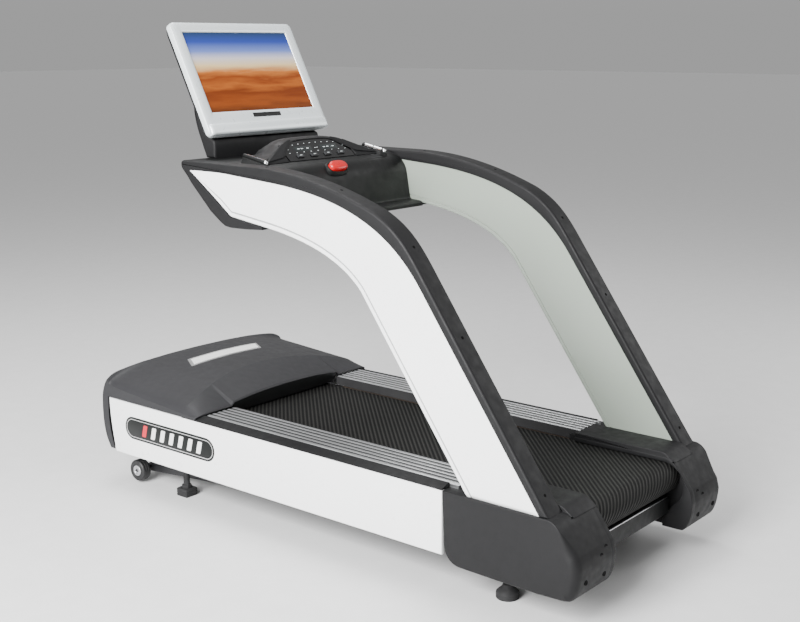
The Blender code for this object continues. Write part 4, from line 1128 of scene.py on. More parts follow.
def cover_edges(count=150):
    """Points along the front edge and the border, the direction of the edge, the direction square to it, and
    a share that shrinks where the cover is narrow. Near the base the square direction turns level, so that
    the cover ends in one straight line on the end cap."""
    front = even(line(front_edge, run((1.343, 1.078), (1.5370, 1.2211))), count)
    back = even(border, count)
    along = np.gradient(front, axis=0)
    along /= np.linalg.norm(along, axis=1)[:, None]
    square = smoothed(np.stack((-along[:, 1], along[:, 0]), axis=1))
    level = np.stack((-1 / np.maximum(along[:, 1], 0.5), np.zeros(count)), axis=1)
    risen = np.clip((front[:, 1] - ARM_BASE) / 0.06, 0, 1)[:, None]
    square = level + (square - level) * risen
    gap = np.linalg.norm(back - front, axis=1)
    return front, back, along, square, np.clip(gap / 0.12, 0, 1)[:, None]


def cover_grid(face, seam):
    """Rows along the arm. Offsets square to the front edge give the roll and the groove, shares of the rest
    give the flat, and a small turned-in lip ends it at the border."""
    front, back, along, square, shrink = cover_edges()
    towards = np.sign(face - seam)
    roll = np.linspace(0, math.pi / 2, 7)
    flat, groove = 0.0, 0.0030
    near = [(0.0, abs(face - seam))]
    near += [(COVER_ROUND * (1 - math.cos(a)), COVER_ROUND * (1 - math.sin(a))) for a in roll]
    near += [(0.0150, flat), (0.0165, groove), (0.0200, groove), (0.0215, flat), (0.034, flat)]
    columns = []
    for distance, depth in near:
        place = front + square * distance * shrink
        columns.append(from_side(place, face - towards * depth))
    start = front + square * 0.034 * shrink
    lip = smoothed(np.stack((along[:, 1], -along[:, 0]), axis=1))
    edge = back + lip * 0.0008 * shrink
    for share in (0.2, 0.4, 0.6, 0.8, 0.995):
        columns.append(from_side(start + (edge - start) * share, face))
    columns.append(from_side(edge, face - towards * 0.0008))
    columns.append(from_side(edge, face - towards * 0.0070))
    return np.stack(columns, axis=1)


def make_cover(name, side_name, face, seam, finish):
    """One cover, with its wall on the inner side."""
    direction = np.sign(face - seam)
    made = piece(
        f"arm_{name}_cover_{side_name}",
        [patch(cover_grid(face, seam))],
        finish,
        replaces=[f"arm_{name}_panel_{side_name}"],
        outward=(direction, 0, 0),
    )
    wall(made, 0.0025)


def make_groove_line(name, side_name, face, seam):
    """The shaded floor of the groove: a ribbon between two offsets, a little above the groove's bottom."""
    front, _, _, square, shrink = cover_edges()
    depth = np.sign(face - seam) * 0.0012
    rows = [from_side(front + square * offset * shrink, face - depth) for offset in (0.0162, 0.0203)]
    ribbon = piece(
        f"arm_{name}_cover_{side_name}_groove", [patch(np.stack(rows, axis=1))], GROOVE_PAINTED_SHADE,
        outward=(np.sign(face - seam), 0, 0),
    )
    wall(ribbon, 0.0006)


for side_name, side in SIDES.items():
    outer, inner = side * (ARM_OUTER - 0.0015), side * (ARM_INNER + 0.0015)
    make_cover("outer", side_name, outer, side * (ARM_SEAM + 0.0006), FINISH["white_panel"])
    # The inner covers' darker grey-green finish is painted shade on the white paint.
    make_cover("inner", side_name, inner, side * (ARM_SEAM - 0.0006), WHITE_PANEL_PAINTED_SHADE)
    make_groove_line("outer", side_name, outer, side * (ARM_SEAM + 0.0006))
report()

# %% [markdown]
# ## Console
#
# Between the arms the console closes the front of the hand rests: a swept lower face, a rounded shoulder and
# a level top. On it stands the pod, an arched frame round a sloping key sheet. The pod is one grid. One
# direction goes round the arch, a superellipse that is flatter on top than a half circle. The other starts at
# the sheet's edge, crosses the frame's face, turns over its rim and runs back down to the console's top.

# %% Console housing
CONSOLE_TOP = 1.2435
KEY_TILT = math.radians(44)
KEY_FOOT = (1.335, 1.238)  # station and height of the foot of the key sheet's slope
SHOULDER_END = 0.340
console_low, console_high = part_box("console_housing")
housing_outline = filleted(
    (
        (1.178, 1.047), (1.179, 1.060), (1.190, 1.066), (1.238, 1.069), (1.260, 1.192), (1.290, 1.225),
        (1.345, CONSOLE_TOP), (1.655, CONSOLE_TOP), (1.668, 1.236), (1.668, 1.218), (1.560, 1.110),
        (1.470, 1.047),
    ),
    (0.003, 0.006, 0.008, 0.012, 0.025, 0.018, 0.028, 0.010, 0.006, 0.012, 0.030, 0.030),
    8,
)
housing = [slab(housing_outline, console_low.x, console_high.x, 0.001, 0.001, 3)]


def on_slope(across, up, out=0.0):
    """A point on the key sheet's slope: up it, and out along its normal."""
    station = KEY_FOOT[0] + up * np.cos(KEY_TILT) - out * np.sin(KEY_TILT)
    height = KEY_FOOT[1] + up * np.sin(KEY_TILT) + out * np.cos(KEY_TILT)
    across, station, height = np.broadcast_arrays(across, y(station), height)
    return np.stack((across, station, height), axis=-1)


def pod_arch(half, rise, flare=0.0, count=61):
    """Points across the pod, and their height above its foot. Within ±half the height is that of half a
    superellipse, rise · (1 − |x/half|^3.2)^0.31. With a flare, both ends run on to a low shoulder for the
    pulse grips, flare · (1 − t)^1.2 for t from 0 to 1, and the higher of the two counts."""
    reach = SHOULDER_END if flare else half
    share = np.sin(np.linspace(-math.pi / 2, math.pi / 2, count))
    across = -reach * share
    arch = rise * (1 - np.minimum(np.abs(across) / half, 1) ** 3.2) ** 0.31
    t = ((np.abs(across) - 0.165) / (SHOULDER_END - 0.165)).clip(0, 1)
    return across, np.maximum(arch, flare * (1 - t) ** 1.2)


def pod_patch():
    """Rows from the sheet's edge outwards and back: slope rows, then rows over the top and down behind."""
    rows = []
    for half, rise, flare, out in (
        (0.1750, 0.0935, 0, -0.0030), (0.1755, 0.0940, 0, 0.0030), (0.1775, 0.0955, 0, 0.0050),
        (0.1810, 0.0985, 0.046, 0.0052), (0.1850, 0.1010, 0.052, 0.0035), (0.1880, 0.1030, 0.056, -0.0010),
    ):
        across, up = pod_arch(half, rise, flare)
        rows.append(on_slope(across, up, out))
    for half, rise, flare, station in (
        (0.1910, 0.0760, 0.042, 0.010), (0.1920, 0.0760, 0.042, 0.028), (0.1915, 0.0725, 0.036, 0.058)
    ):
        across, up = pod_arch(half, rise, flare)
        place = KEY_FOOT[0] + up + station
        rows.append(np.stack((across, y(place), KEY_FOOT[1] + up), axis=-1))
    for half, rise, flare, station in ((0.1890, 0.050, 0.024, 1.490), (0.1840, 0.004, 0.003, 1.512)):
        across, up = pod_arch(half, rise, flare)
        rows.append(np.stack((across, np.full(len(across), y(station)), KEY_FOOT[1] + up), axis=-1))
    return patch(np.array(rows))


console_finish = FINISH["console_moulding"]
piece("console_cover", housing, console_finish, replaces=["console_housing"])
pod = piece(
    "console_pod", [pod_patch()], FINISH["charcoal_moulding"], outward=(0, -0.3, 1)
)
wall(pod, 0.003)
report()

# %% [markdown]
# The key sheet is a glossy black panel, slightly wider at the top and with a crowned upper edge. Two dark
# glass windows show plain bars of light, and small dots stand for the printed marks. Below them are the four
# keys, each on its own body so that it can be pressed. Below the sheet is the red stop button, which sits in
# a collar on the console's shoulder. The dots and the marks on the keys glow like the display's bars, which
# on printed marks is painted light.

# %% Key sheet, windows, marks and keys
# Glow of the display's lit bars; the printed dots and key marks take it too, which on them is painted light.
DISPLAY_AND_PAINTED_GLOW = start_finish("display_light_and_painted_glow", 0.4, Emission_Strength=0.25)
light_tone = ramp(DISPLAY_AND_PAINTED_GLOW, noise(DISPLAY_AND_PAINTED_GLOW, 300.0, 1.0), (0.3, srgb(196, 206, 206)), (0.7, srgb(230, 236, 236)))
feed(DISPLAY_AND_PAINTED_GLOW, "Base Color", light_tone)
feed(DISPLAY_AND_PAINTED_GLOW, "Emission Color", light_tone)


def crowned(half_low, half_high, low, high, crown, out, thickness, count=(25, 9)):
    """A sheet on the slope, for s from −1 to 1 and t from 0 to 1: across = s(half_low + (half_high −
    half_low)t), up = low + t(high − low + crown(1 − s²))."""
    s, t = np.meshgrid(np.linspace(-1, 1, count[0]), np.linspace(0, 1, count[1]))
    across = s * (half_low + (half_high - half_low) * t)
    up = low + t * (high - low + crown * (1 - s**2))
    top, under = on_slope(across, up, out), on_slope(across, up, out - thickness)
    grid = np.concatenate((top, under[::-1]))
    ends = [patch(np.stack((top[:, i], under[:, i]))) for i in (0, -1)]
    return [patch(grid, wrap_rows=True), *ends]


def tile(across, up, width, height, out, thickness):
    """A small rectangular plate on the slope, with its top edges drawn in a little."""
    rows = []
    for inset, depth in ((0.0, -thickness), (0.0, -0.25 * thickness), (min(width, height) * 0.10, 0.0)):
        half, low, high = width / 2 - inset, up - height / 2 + inset, up + height / 2 - inset
        corners = ((-half, low), (half, low), (half, high), (-half, high))
        rows.append([on_slope(across + x, place, out + depth) for x, place in corners])
    return patch(np.array(rows), wrap_columns=True, caps=("first", "last"))


piece(
    "key_sheet_panel", crowned(0.168, 0.172, 0.002, 0.078, 0.0145, 0.0032, 0.004), FINISH["key_sheet"],
    replaces=["key_panel"],
)
WINDOW_SIDE, WINDOW_UP = 0.066, 0.054
windows = [tile(x, WINDOW_UP, 0.086, 0.022, 0.0040, 0.002) for x in (-WINDOW_SIDE, WINDOW_SIDE)]
piece("key_sheet_windows", windows, FINISH["screen_window"])
bars = [
    tile(x + dx, WINDOW_UP, 0.011, 0.0026, 0.0045, 0.001)
    for x in (-WINDOW_SIDE, WINDOW_SIDE)
    for dx in (-0.024, -0.006, 0.022)
]
dots = [
    tile(x, 0.0705 + 0.008 * (1 - (x / 0.14) ** 2), 0.0042, 0.0016, 0.0042, 0.001)
    for x in np.linspace(-0.136, 0.136, 10)
]
dots += [tile(x, 0.0385, 0.0040, 0.0014, 0.0042, 0.001) for x in np.linspace(-0.144, 0.144, 9)]
dots += [tile(x, WINDOW_UP, 0.005, 0.0018, 0.0042, 0.001) for x in (-0.142, 0.142, -0.005, 0.005)]
# The bars are lit display segments; the dots are printed marks, and their glow is painted light.
piece("key_sheet_lights", bars + dots, DISPLAY_AND_PAINTED_GLOW)
for name in ("speed_down_key", "stop_key", "start_key", "speed_up_key"):
    low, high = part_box(name)
    across = (low.x + high.x) / 2
    cap = tile(across, 0.021, 0.034, 0.014, 0.0097, 0.005)
    piece(name + "_cap", [cap], FINISH["key_cap"], body=name, replaces=[name])
    mark = tile(across, 0.021, 0.012, 0.0018, 0.0099, 0.001)
    # The key's printed mark glows: painted light.
    piece(name + "_mark", [mark], DISPLAY_AND_PAINTED_GLOW, body=name)
report()

# %% Stop button and its collar
STOP_TILT = math.atan2(0.030, 0.035)
stop_out = np.array((0, -math.sin(STOP_TILT), math.cos(STOP_TILT)))
stop_up = np.array((0, math.cos(STOP_TILT), math.sin(STOP_TILT)))
stop_face = np.array((0, y(1.2725), 1.210)) + stop_out * 0.002


def oval(half_across, half_up, out, count=48):
    """A superellipse square to the stop button's travel: (cos a, sin a) with both raised to the power 0.7."""
    angle = np.linspace(0, 2 * math.pi, count, endpoint=False)[:, None]
    across = np.array((1.0, 0.0, 0.0))
    cosine, sine = np.cos(angle), np.sin(angle)
    cosine, sine = np.sign(cosine) * np.abs(cosine) ** 0.7, np.sign(sine) * np.abs(sine) ** 0.7
    return stop_face + cosine * across * half_across + sine * stop_up * half_up + stop_out * out


button = [oval(0.0415 * k, 0.0205 * k, out) for k, out in (
    (1.0, 0.001), (1.0, 0.0120), (0.985, 0.0150), (0.94, 0.0175), (0.84, 0.0192), (0.6, 0.0202),
    (0.3, 0.0206), (0.0, 0.0207),
)]
piece(
    "stop_button_cap", [patch(np.array(button), wrap_columns=True, caps=("first",))], FINISH["stop_red"],
    body="stop_button", replaces=["stop_button"],
)
collar = [oval(a, b, out) for a, b, out in (
    (0.0430, 0.0220, -0.010), (0.0430, 0.0220, 0.0040), (0.0442, 0.0232, 0.0052), (0.0480, 0.0262, 0.0044),
    (0.0515, 0.0290, 0.0005), (0.0525, 0.0300, -0.010),
)]
collar_ring = patch(np.array(collar), True, True)
piece("stop_button_collar", [collar_ring], console_finish)
report()

# %% [markdown]
# ## Pulse grips
#
# Beside the pod, on each side, lies a slim black bar. Two chromed contacts are let into the side that faces
# the runner, and its rear end is a chromed dome. A contact is part of a turned surface: the same ring of
# points as the bar, a little wider, but only over the angles where metal shows. The bar rests on a shoulder
# that grows out of the console.


# %% Pulse grips
def contact_shell(start, end, facing, radius, spread_angle, thickness=0.0012):
    """A strip of a tube from start to end, spread_angle to each side of the direction it faces."""
    axis = (end - start) / np.linalg.norm(end - start)
    facing = facing - axis * np.dot(facing, axis)
    facing /= np.linalg.norm(facing)
    beside = np.cross(axis, facing)
    angle = np.radians(np.linspace(-spread_angle, spread_angle, 15))[:, None]
    ring = np.cos(angle) * facing + np.sin(angle) * beside
    section = np.concatenate((ring * radius, ring[::-1] * (radius - thickness)))
    ends = np.array([section + start, section + end])
    return patch(ends, wrap_columns=True, caps=("first", "last"))


def make_grip(side_name, side):
    """Black bar, two contacts, chromed rear dome and the shoulder under them."""
    low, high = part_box("pulse_grip_" + side_name)
    radius, x = (high.x - low.x) / 2, (low.x + high.x) / 2
    rear = np.array((x, low.y + 0.002, low.z + radius))
    front = np.array((x, high.y - 0.002, high.z - radius))
    axis = (front - rear) / np.linalg.norm(front - rear)
    length = np.linalg.norm(front - rear)
    bar_radius = radius - 0.0008
    quarter = np.linspace(0, math.pi / 2, 7)
    dome = [(bar_radius * 0.7 * (1 - math.cos(a)), bar_radius * math.sin(a)) for a in quarter]
    front_dome = [(length - along, r) for along, r in dome[::-1]]
    collar = [(0.012, bar_radius), (0.012, 0)]
    piece(
        "pulse_grip_" + side_name + "_bar",
        [turned([(0.010, 0), (0.010, bar_radius), *front_dome], rear, axis, 28)],
        FINISH["console_moulding"],
        replaces=["pulse_grip_" + side_name],
    )
    facing = np.array((-side * 0.8, -0.2, 0.75))
    contacts = [turned([*dome, *collar], rear, axis, 28)]
    for start, end in ((0.018, 0.056), (0.061, 0.099)):
        contacts.append(contact_shell(rear + axis * start, rear + axis * end, facing, radius, 62))
    piece("pulse_grip_" + side_name + "_contacts", contacts, FINISH["grip_chrome"])
    rows = []
    for share in np.linspace(0, 1, 9):
        reach = 0.030 * math.sqrt(max(0.0, 1 - (2 * share - 1) ** 4)) + 0.001
        centre = rear + axis * (length * (-0.03 + 1.06 * share))
        top = centre[2] - radius * 0.35
        base = 1.2280 if share < 0.5 else 1.2400
        corners = ((x - reach, base), (x - reach * 0.55, top), (x + reach * 0.55, top), (x + reach, base))
        rows.append([(across, centre[1], up) for across, up in corners])
    shoulder = patch(np.array(rows), wrap_columns=True, caps=("first", "last"))
    piece("pulse_grip_" + side_name + "_shoulder", [shoulder], console_finish)


for side_name, side in SIDES.items():
    make_grip(side_name, side)
report()

# %% [markdown]
# ## Screen
#
# The screen leans back on a wide neck. Its silver bezel is a ring whose inner edge is the picture's window
# and whose outer edge is a rounded rectangle. Every point of the ring lies a share of the way from one to the
# other, and a depth behind the front, so one small table of shares and depths gives the whole moulding: the
# rounded edge round the glass, the gently crowned face and the soft outer corner. A rolled lip runs along the
# bottom, and the glass behind the ring carries the picture.

# %% Places on the leaning screen
TV_LEAN = math.radians(27.5)
TV_FOOT = (1.583, 1.327)
TV_WIDTH, TV_HEIGHT, TV_BEZEL, TV_BACK = 0.611, 0.441, 0.024, 0.036
WINDOW = (-0.2600, 0.2600, 0.088, 0.401)


def on_screen(across, up, behind):
    """A point up the leaning front plane and a depth behind it."""
    station = TV_FOOT[0] + up * np.sin(TV_LEAN) + behind * np.cos(TV_LEAN)
    height = TV_FOOT[1] + up * np.cos(TV_LEAN) - behind * np.sin(TV_LEAN)
    across, station, height = np.broadcast_arrays(across, y(station), height)
    return np.stack((across, station, height), axis=-1)


def rounded_rectangle(left, right, low, high, radius, count=9, edge=7):
    """Four quarter circles joined by straight edges, always with the same number of points."""
    corners = ((right, high, 0), (left, high, 90), (left, low, 180), (right, low, 270))
    points = []
    for index, (x, up, start) in enumerate(corners):
        inset_x, inset_up = (radius if x == left else -radius), (radius if up == low else -radius)
        quarter = arc(x + inset_x, up + inset_up, radius, start, start + 90, count)
        following = corners[(index + 1) % 4]
        next_x = following[0] + (radius if following[0] == left else -radius)
        next_up = following[1] + (radius if following[1] == low else -radius)
        angle = math.radians(following[2])
        target = np.array((next_x + radius * math.cos(angle), next_up + radius * math.sin(angle)))
        points += [quarter, quarter[-1] + (target - quarter[-1]) * np.linspace(0, 1, edge + 2)[1:-1, None]]
    return np.vstack(points)


print("screen leans", round(math.degrees(TV_LEAN), 1), "degrees")

# %% Bezel, lip and glass
def make_bezel():
    """The ring of shares and depths, closed both ways."""
    inner = rounded_rectangle(*WINDOW, 0.0015)
    outer = rounded_rectangle(-TV_WIDTH / 2, TV_WIDTH / 2, 0.0, TV_HEIGHT, 0.022)
    table = (
        (0.0, 0.0100), (0.0, 0.0040), (0.03, 0.0020), (0.09, 0.0008), (0.30, 0.0000), (0.60, 0.0000),
        (0.84, 0.0010), (0.94, 0.0036), (0.985, 0.0080), (1.0, 0.0130), (1.0, 0.0240), (0.0, 0.0240),
    )
    rows = []
    for share, behind in table:
        flat = inner + (outer - inner) * share
        rows.append(on_screen(flat[:, 0], flat[:, 1], behind))
    piece(
        "tv_bezel_ring", [patch(np.array(rows), True, True)], FINISH["bezel_silver"],
        replaces=["tv_bezel"],
    )
    half = TV_WIDTH / 2 - 0.006
    lip_section = line(
        run((0.0020, 0.0150), (0.0010, 0.0040)),
        bezier((0.0010, 0.0040), (0.0010, -0.0060), (0.0060, -0.0085), (0.0200, -0.0085), 8),
        bezier((0.0200, -0.0085), (0.0340, -0.0085), (0.0410, -0.0075), (0.0430, -0.0010), 8),
        run((0.0436, 0.0060), (0.0436, 0.0150)),
    )
    swell = np.concatenate((np.sin(np.linspace(0, math.pi / 2, 6)), np.sin(np.linspace(math.pi / 2, 0, 6))))
    across = np.concatenate((-half + 0.014 * (1 - np.cos(np.linspace(0, math.pi / 2, 6))),
                             half - 0.014 * (1 - np.cos(np.linspace(math.pi / 2, 0, 6)))))
    rows = []
    for x, grow in zip(across, swell):
        up = 0.0220 + (lip_section[:, 0] - 0.0220) * (0.90 + 0.10 * grow)
        proud = 0.006 + (lip_section[:, 1] - 0.006) * (0.2 + 0.8 * grow)
        behind = np.where(lip_section[:, 1] < 0.006, proud, lip_section[:, 1])
        rows.append(on_screen(np.full(len(up), x), up, behind))
    lip = patch(np.array(rows), wrap_columns=True, caps=("first", "last"))
    piece("tv_lower_lip", [lip], FINISH["bezel_silver"])
    strip = rounded_rectangle(-0.070, 0.070, 0.060, 0.077, 0.0015, 4, 1)
    rows = [on_screen(strip[:, 0], strip[:, 1], behind) for behind in (0.004, -0.0004)]
    dark = patch(np.array(rows), wrap_columns=True, caps=("first", "last"))
    piece("tv_sensor_strip", [dark], FINISH["key_sheet"])


def make_glass():
    """A plain pane with a map from 0 to 1 up and across it, for the picture."""
    across, up = np.meshgrid(np.linspace(-0.2612, 0.2612, 3), np.linspace(0.0868, 0.4012, 3))
    front, back = on_screen(across, up, 0.0048), on_screen(across, up, 0.0092)
    grid = np.concatenate((front, back[::-1]))
    ends = [patch(np.stack((front[:, i], back[:, i]))) for i in (0, -1)]
    made = piece(
        "tv_glass", [patch(grid, wrap_rows=True), *ends], FINISH["screen_glass"],
        replaces=["tv_screen"],
    )
    mesh = made.data
    places = np.empty(len(mesh.vertices) * 3)
    mesh.vertices.foreach_get("co", places)
    places = places.reshape(-1, 3)
    index = np.empty(len(mesh.loops), np.int32)
    mesh.loops.foreach_get("vertex_index", index)
    share_across = (places[:, 0] + 0.2612) / 0.5224
    share_up = (places[:, 2] - places[:, 2].min()) / np.ptp(places[:, 2])
    layer = mesh.uv_layers.new(name="surface")
    layer.data.foreach_set("uv", np.stack((share_across, share_up), axis=1)[index].ravel())


make_bezel()
make_glass()
report()

# %% [markdown]
# Behind the bezel a shallow charcoal shell swells to a flat back with three rows of vent slots. The neck
# below it is nearly as wide as the screen, thin at the top and deep at the console, and its side edges are
# rounded.

# %% Back shell, vents and neck
def make_back():
    """Rounded rectangles that shrink as they go back, closed by the flat back."""
    rows = []
    for inset, behind in (
        (0.004, TV_BEZEL + 0.0003), (0.004, 0.030), (0.007, 0.038), (0.014, 0.047), (0.024, 0.054),
        (0.036, 0.0585), (0.050, 0.0600),
    ):
        half = TV_WIDTH / 2 - inset
        ring = rounded_rectangle(-half, half, inset, TV_HEIGHT - inset, 0.024)
        rows.append(on_screen(ring[:, 0], ring[:, 1], behind))
    piece(
        "tv_back_cover", [patch(np.array(rows), wrap_columns=True, caps=("first", "last"))],
        FINISH["charcoal_moulding"], replaces=["tv_back_shell"],
    )
    slots = []
    for up in (0.325, 0.345, 0.365):
        for index in range(17):
            x = -0.176 + 0.022 * index
            outline = rounded_rectangle(x - 0.0085, x + 0.0085, up - 0.0022, up + 0.0022, 0.0021, 4, 1)
            ends = [on_screen(outline[:, 0], outline[:, 1], behind) for behind in (0.0590, 0.0603)]
            slots.append(patch(np.array(ends), wrap_columns=True, caps=("first", "last")))
    # The slots are thin near-black plates just proud of the back: painted shade for the openings.
    piece("tv_back_vents", slots, DARK_RECESS)


def tv_side(up, behind):
    """(station, height) of a place on the leaning screen."""
    return (
        TV_FOOT[0] + up * math.sin(TV_LEAN) + behind * math.cos(TV_LEAN),
        TV_FOOT[1] + up * math.cos(TV_LEAN) - behind * math.sin(TV_LEAN),
    )


def make_neck():
    """Side outline of the neck, given width with a wide round at both edges."""
    behind = TV_BEZEL + TV_BACK + 0.0004
    outline = line(
        run((1.608, CONSOLE_TOP + 0.0003), (1.655, CONSOLE_TOP + 0.0003)),
        bezier((1.655, CONSOLE_TOP + 0.0003), (1.664, 1.262), (1.676, 1.290), (1.694, 1.330), 10),
        bezier((1.694, 1.330), (1.708, 1.365), (1.716, 1.400), tv_side(0.150, behind + 0.011), 10),
        run(tv_side(0.150, behind), tv_side(0.030, behind), tv_side(-0.004, 0.034)),
        bezier(tv_side(-0.004, 0.034), (1.604, 1.300), (1.606, 1.270), (1.608, CONSOLE_TOP + 0.0003), 6)[:-1],
    )
    piece(
        "tv_neck_cover", [slab(outline, -0.270, 0.270, 0.010, 0.010, 6)], FINISH["charcoal_moulding"],
        replaces=["tv_neck"],
    )


make_back()
make_neck()
report()

# %% [markdown]
# ## Wheels, feet and the mains inlet
#
# The transport wheels are turned: a black tyre with rounded shoulders and a steel hub cap with a bolt. The
# rear feet are rubber pads on a threaded stem, with grooves round them, and the front feet are square rubber
# blocks. The mains inlet and its rocker switch sit at the front, under the nose. No cord was modelled.

# %% Wheels
def make_wheel(side_name, side):
    """Tyre profile with shoulders and two grooves, hub disc with a dark ring and a bolt head."""
    low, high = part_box("transport_wheel_" + side_name)
    centre = ((low.x + high.x) / 2, (low.y + high.y) / 2, (low.z + high.z) / 2)
    half, radius = (high.x - low.x) / 2, (high.z - low.z) / 2
    shoulder = [
        (half - 0.007 * (1 - math.cos(a)), radius - 0.007 * (1 - math.sin(a)))
        for a in np.linspace(0, math.pi / 2, 7)
    ]
    groove = [(0.0065, radius), (0.0058, radius - 0.0012), (0.0042, radius - 0.0012), (0.0035, radius)]
    side_wall = [(half - 0.0030, 0.0215), (half - 0.0008, 0.0235), (half, 0.0260), (half, radius - 0.0085)]
    outer = [*side_wall, *shoulder, *groove]
    profile = [*outer, *((-along, r) for along, r in outer[::-1])]
    ring = [(half - 0.003, 0.0064), *profile, (-half + 0.003, 0.0064), (half - 0.003, 0.0064)]
    tyre = turned(ring, centre, (side, 0, 0), 56)
    piece(
        "transport_wheel_" + side_name + "_tyre", [(tyre[0], [f for f in tyre[1] if len(f) == 4])],
        FINISH["wheel_rubber"], body="wheel_" + side_name,
        replaces=["transport_wheel_" + side_name],
    )
    hub = [
        (half - 0.0034, 0.0), (half - 0.0034, 0.0205), (half - 0.0012, 0.0205), (half - 0.0002, 0.0190),
        (half - 0.0006, 0.0135), (half - 0.0026, 0.0120), (half - 0.0026, 0.0078), (half - 0.0001, 0.0066),
        (half - 0.0001, 0.0),
    ]
    piece(
        "transport_wheel_" + side_name + "_hub", [turned(hub, centre, (side, 0, 0), 40)],
        FINISH["bright_steel"], body="wheel_" + side_name,
    )
    axle = [
        (half - 0.002, 0.0), (half - 0.002, 0.0058), (half + 0.0005, 0.0058), (half + 0.0014, 0.0046),
        (half + 0.0014, 0.0),
    ]
    piece(
        "transport_wheel_" + side_name + "_axle_bolt", [turned(axle, centre, (side, 0, 0), 6)], DARK_RECESS,
        body="lift_frame",
    )


for side_name, side in SIDES.items():
    make_wheel(side_name, side)
report()


# %% Feet
def make_feet(side_name, side):
    """Turned pad with two grooves and a stem at the rear; a grooved block, post, nut and bracket in front."""
    low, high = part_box("rear_foot_pad_" + side_name)
    centre = ((low.x + high.x) / 2, (low.y + high.y) / 2, 0.0)
    profile = [
        (0, 0), (0, 0.0340), (0.002, 0.036), (0.005, 0.036), (0.006, 0.0348), (0.0075, 0.0348),
        (0.0085, 0.036), (0.012, 0.036), (0.013, 0.0348), (0.0145, 0.0348), (0.0155, 0.036),
        (0.020, 0.0355), (0.026, 0.0300), (0.032, 0.0225), (0.038, 0.0175), (high.z - 0.001, 0.0155),
        (high.z, 0.0140), (high.z, 0),
    ]
    piece(
        "rear_foot_" + side_name + "_pad", [turned(profile, centre, (0, 0, 1), 48)], FINISH["foot_rubber"],
        body="feet", replaces=["rear_foot_pad_" + side_name],
    )
    low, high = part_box("front_foot_" + side_name)
    x, station = side * 0.385, (low.y + high.y) / 2
    half = 0.028
    rows = []
    for inset, height in (
        (0.002, 0.0), (0.0, 0.002), (0.0, 0.0085), (0.0012, 0.0092), (0.0012, 0.0108), (0.0, 0.0115),
        (0.0, 0.0185), (0.0012, 0.0192), (0.0012, 0.0208), (0.0, 0.0215), (0.0, 0.0270), (0.0030, 0.0300),
    ):
        ring = rounded_rectangle(-half + inset, half - inset, -half + inset, half - inset, 0.005, 5, 1)
        rows.append(np.stack((x + ring[:, 0], station + ring[:, 1], np.full(len(ring), height)), axis=1))
    block = patch(np.array(rows), wrap_columns=True, caps=("first", "last"))
    post = turned([(0.029, 0), (0.029, 0.012), (high.z, 0.012), (high.z, 0)], (x, station, 0), (0, 0, 1), 24)
    nut_profile = [(0.030, 0), (0.030, 0.0195), (0.040, 0.0195), (0.042, 0.017), (0.042, 0)]
    nut = turned(nut_profile, (x, station, 0), (0, 0, 1), 6)
    inner, outer = side * (0.330 + 0.0003), side * 0.405
    rear, front = station - 0.025, station + 0.025
    bracket = filleted(((inner, rear), (outer, rear), (outer, front), (inner, front)), 0.004, 4)
    rows = [np.column_stack((bracket, np.full(len(bracket), height))) for height in (0.185, 0.205)]
    plate = patch(np.array(rows), wrap_columns=True, caps=("first", "last"))
    piece(
        "front_foot_" + side_name + "_block", [block, post, nut, plate],
        FINISH["foot_rubber"], replaces=["front_foot_" + side_name],
    )


for side_name, side in SIDES.items():
    make_feet(side_name, side)
report()

# %% Rear bar, switch and inlet
bar_low, bar_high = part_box("rear_cross_bar")
bar_corners = (
    (bar_low.y, bar_low.z), (bar_high.y, bar_low.z), (bar_high.y, bar_high.z), (bar_low.y, bar_high.z)
)
bar_section = filleted(bar_corners, 0.007, 6)
bar_patch = carried(bar_section, (bar_low.x, 0, 0), (bar_high.x, 0, 0), ((0, 1, 0), (0, 0, 1)))
piece(
    "rear_cross_bar_moulding", [bar_patch], FINISH["console_moulding"],
    replaces=["rear_cross_bar"],
)
# A thin bright steel strip along the bar's top edge, standing in for that edge's highlight: painted
# highlight.
highlight_low, highlight_high = bar_high.z - 0.0045, bar_high.z - 0.0020
painted_light_strip = run(
    (bar_low.y - 0.0005, highlight_low), (bar_low.y + 0.004, highlight_low), (bar_low.y + 0.004, highlight_high),
    (bar_low.y - 0.0005, highlight_high),
)
highlight_strip_patch = carried(painted_light_strip, (bar_low.x + 0.01, 0, 0), (bar_high.x - 0.01, 0, 0), ((0, 1, 0), (0, 0, 1)))
piece("rear_cross_bar_painted_highlight", [highlight_strip_patch], FINISH["bright_steel"])


def plate_facing_front(centre, width, height, thickness, corner):
    """A small rounded plate in the plane across the machine."""
    ring = rounded_rectangle(-width / 2, width / 2, -height / 2, height / 2, corner, 5, 1)
    x, station, z = centre
    rows = [np.stack((x + ring[:, 0] * k, np.full(len(ring), y(station + depth)), z + ring[:, 1] * k), axis=1)
            for depth, k in ((-thickness, 1.0), (-0.001, 1.0), (0.0, 0.97))]
    return patch(np.array(rows), wrap_columns=True, caps=("first", "last"))


def plate_round_switch(low, high, centre, width, height, thickness):
    """The same plate with an opening: outer and inner rectangles joined into a ring, closed both ways."""
    x, station, z = centre
    outer = rounded_rectangle(x - width / 2, x + width / 2, z - height / 2, z + height / 2, 0.004, 5, 1)
    middle = outer.mean(axis=0)
    inner = rounded_rectangle(low.x - 0.001, high.x + 0.001, low.z - 0.002, high.z + 0.002, 0.001, 5, 1)
    rim = middle + (outer - middle) * 0.97
    rows = [
        np.stack((ring[:, 0], np.full(len(ring), y(station - depth)), ring[:, 1]), axis=1)
        for ring, depth in (
            (outer, thickness), (outer, 0.001), (rim, 0.0), (inner, 0.0), (inner, thickness)
        )
    ]
    return patch(np.array(rows), True, True)


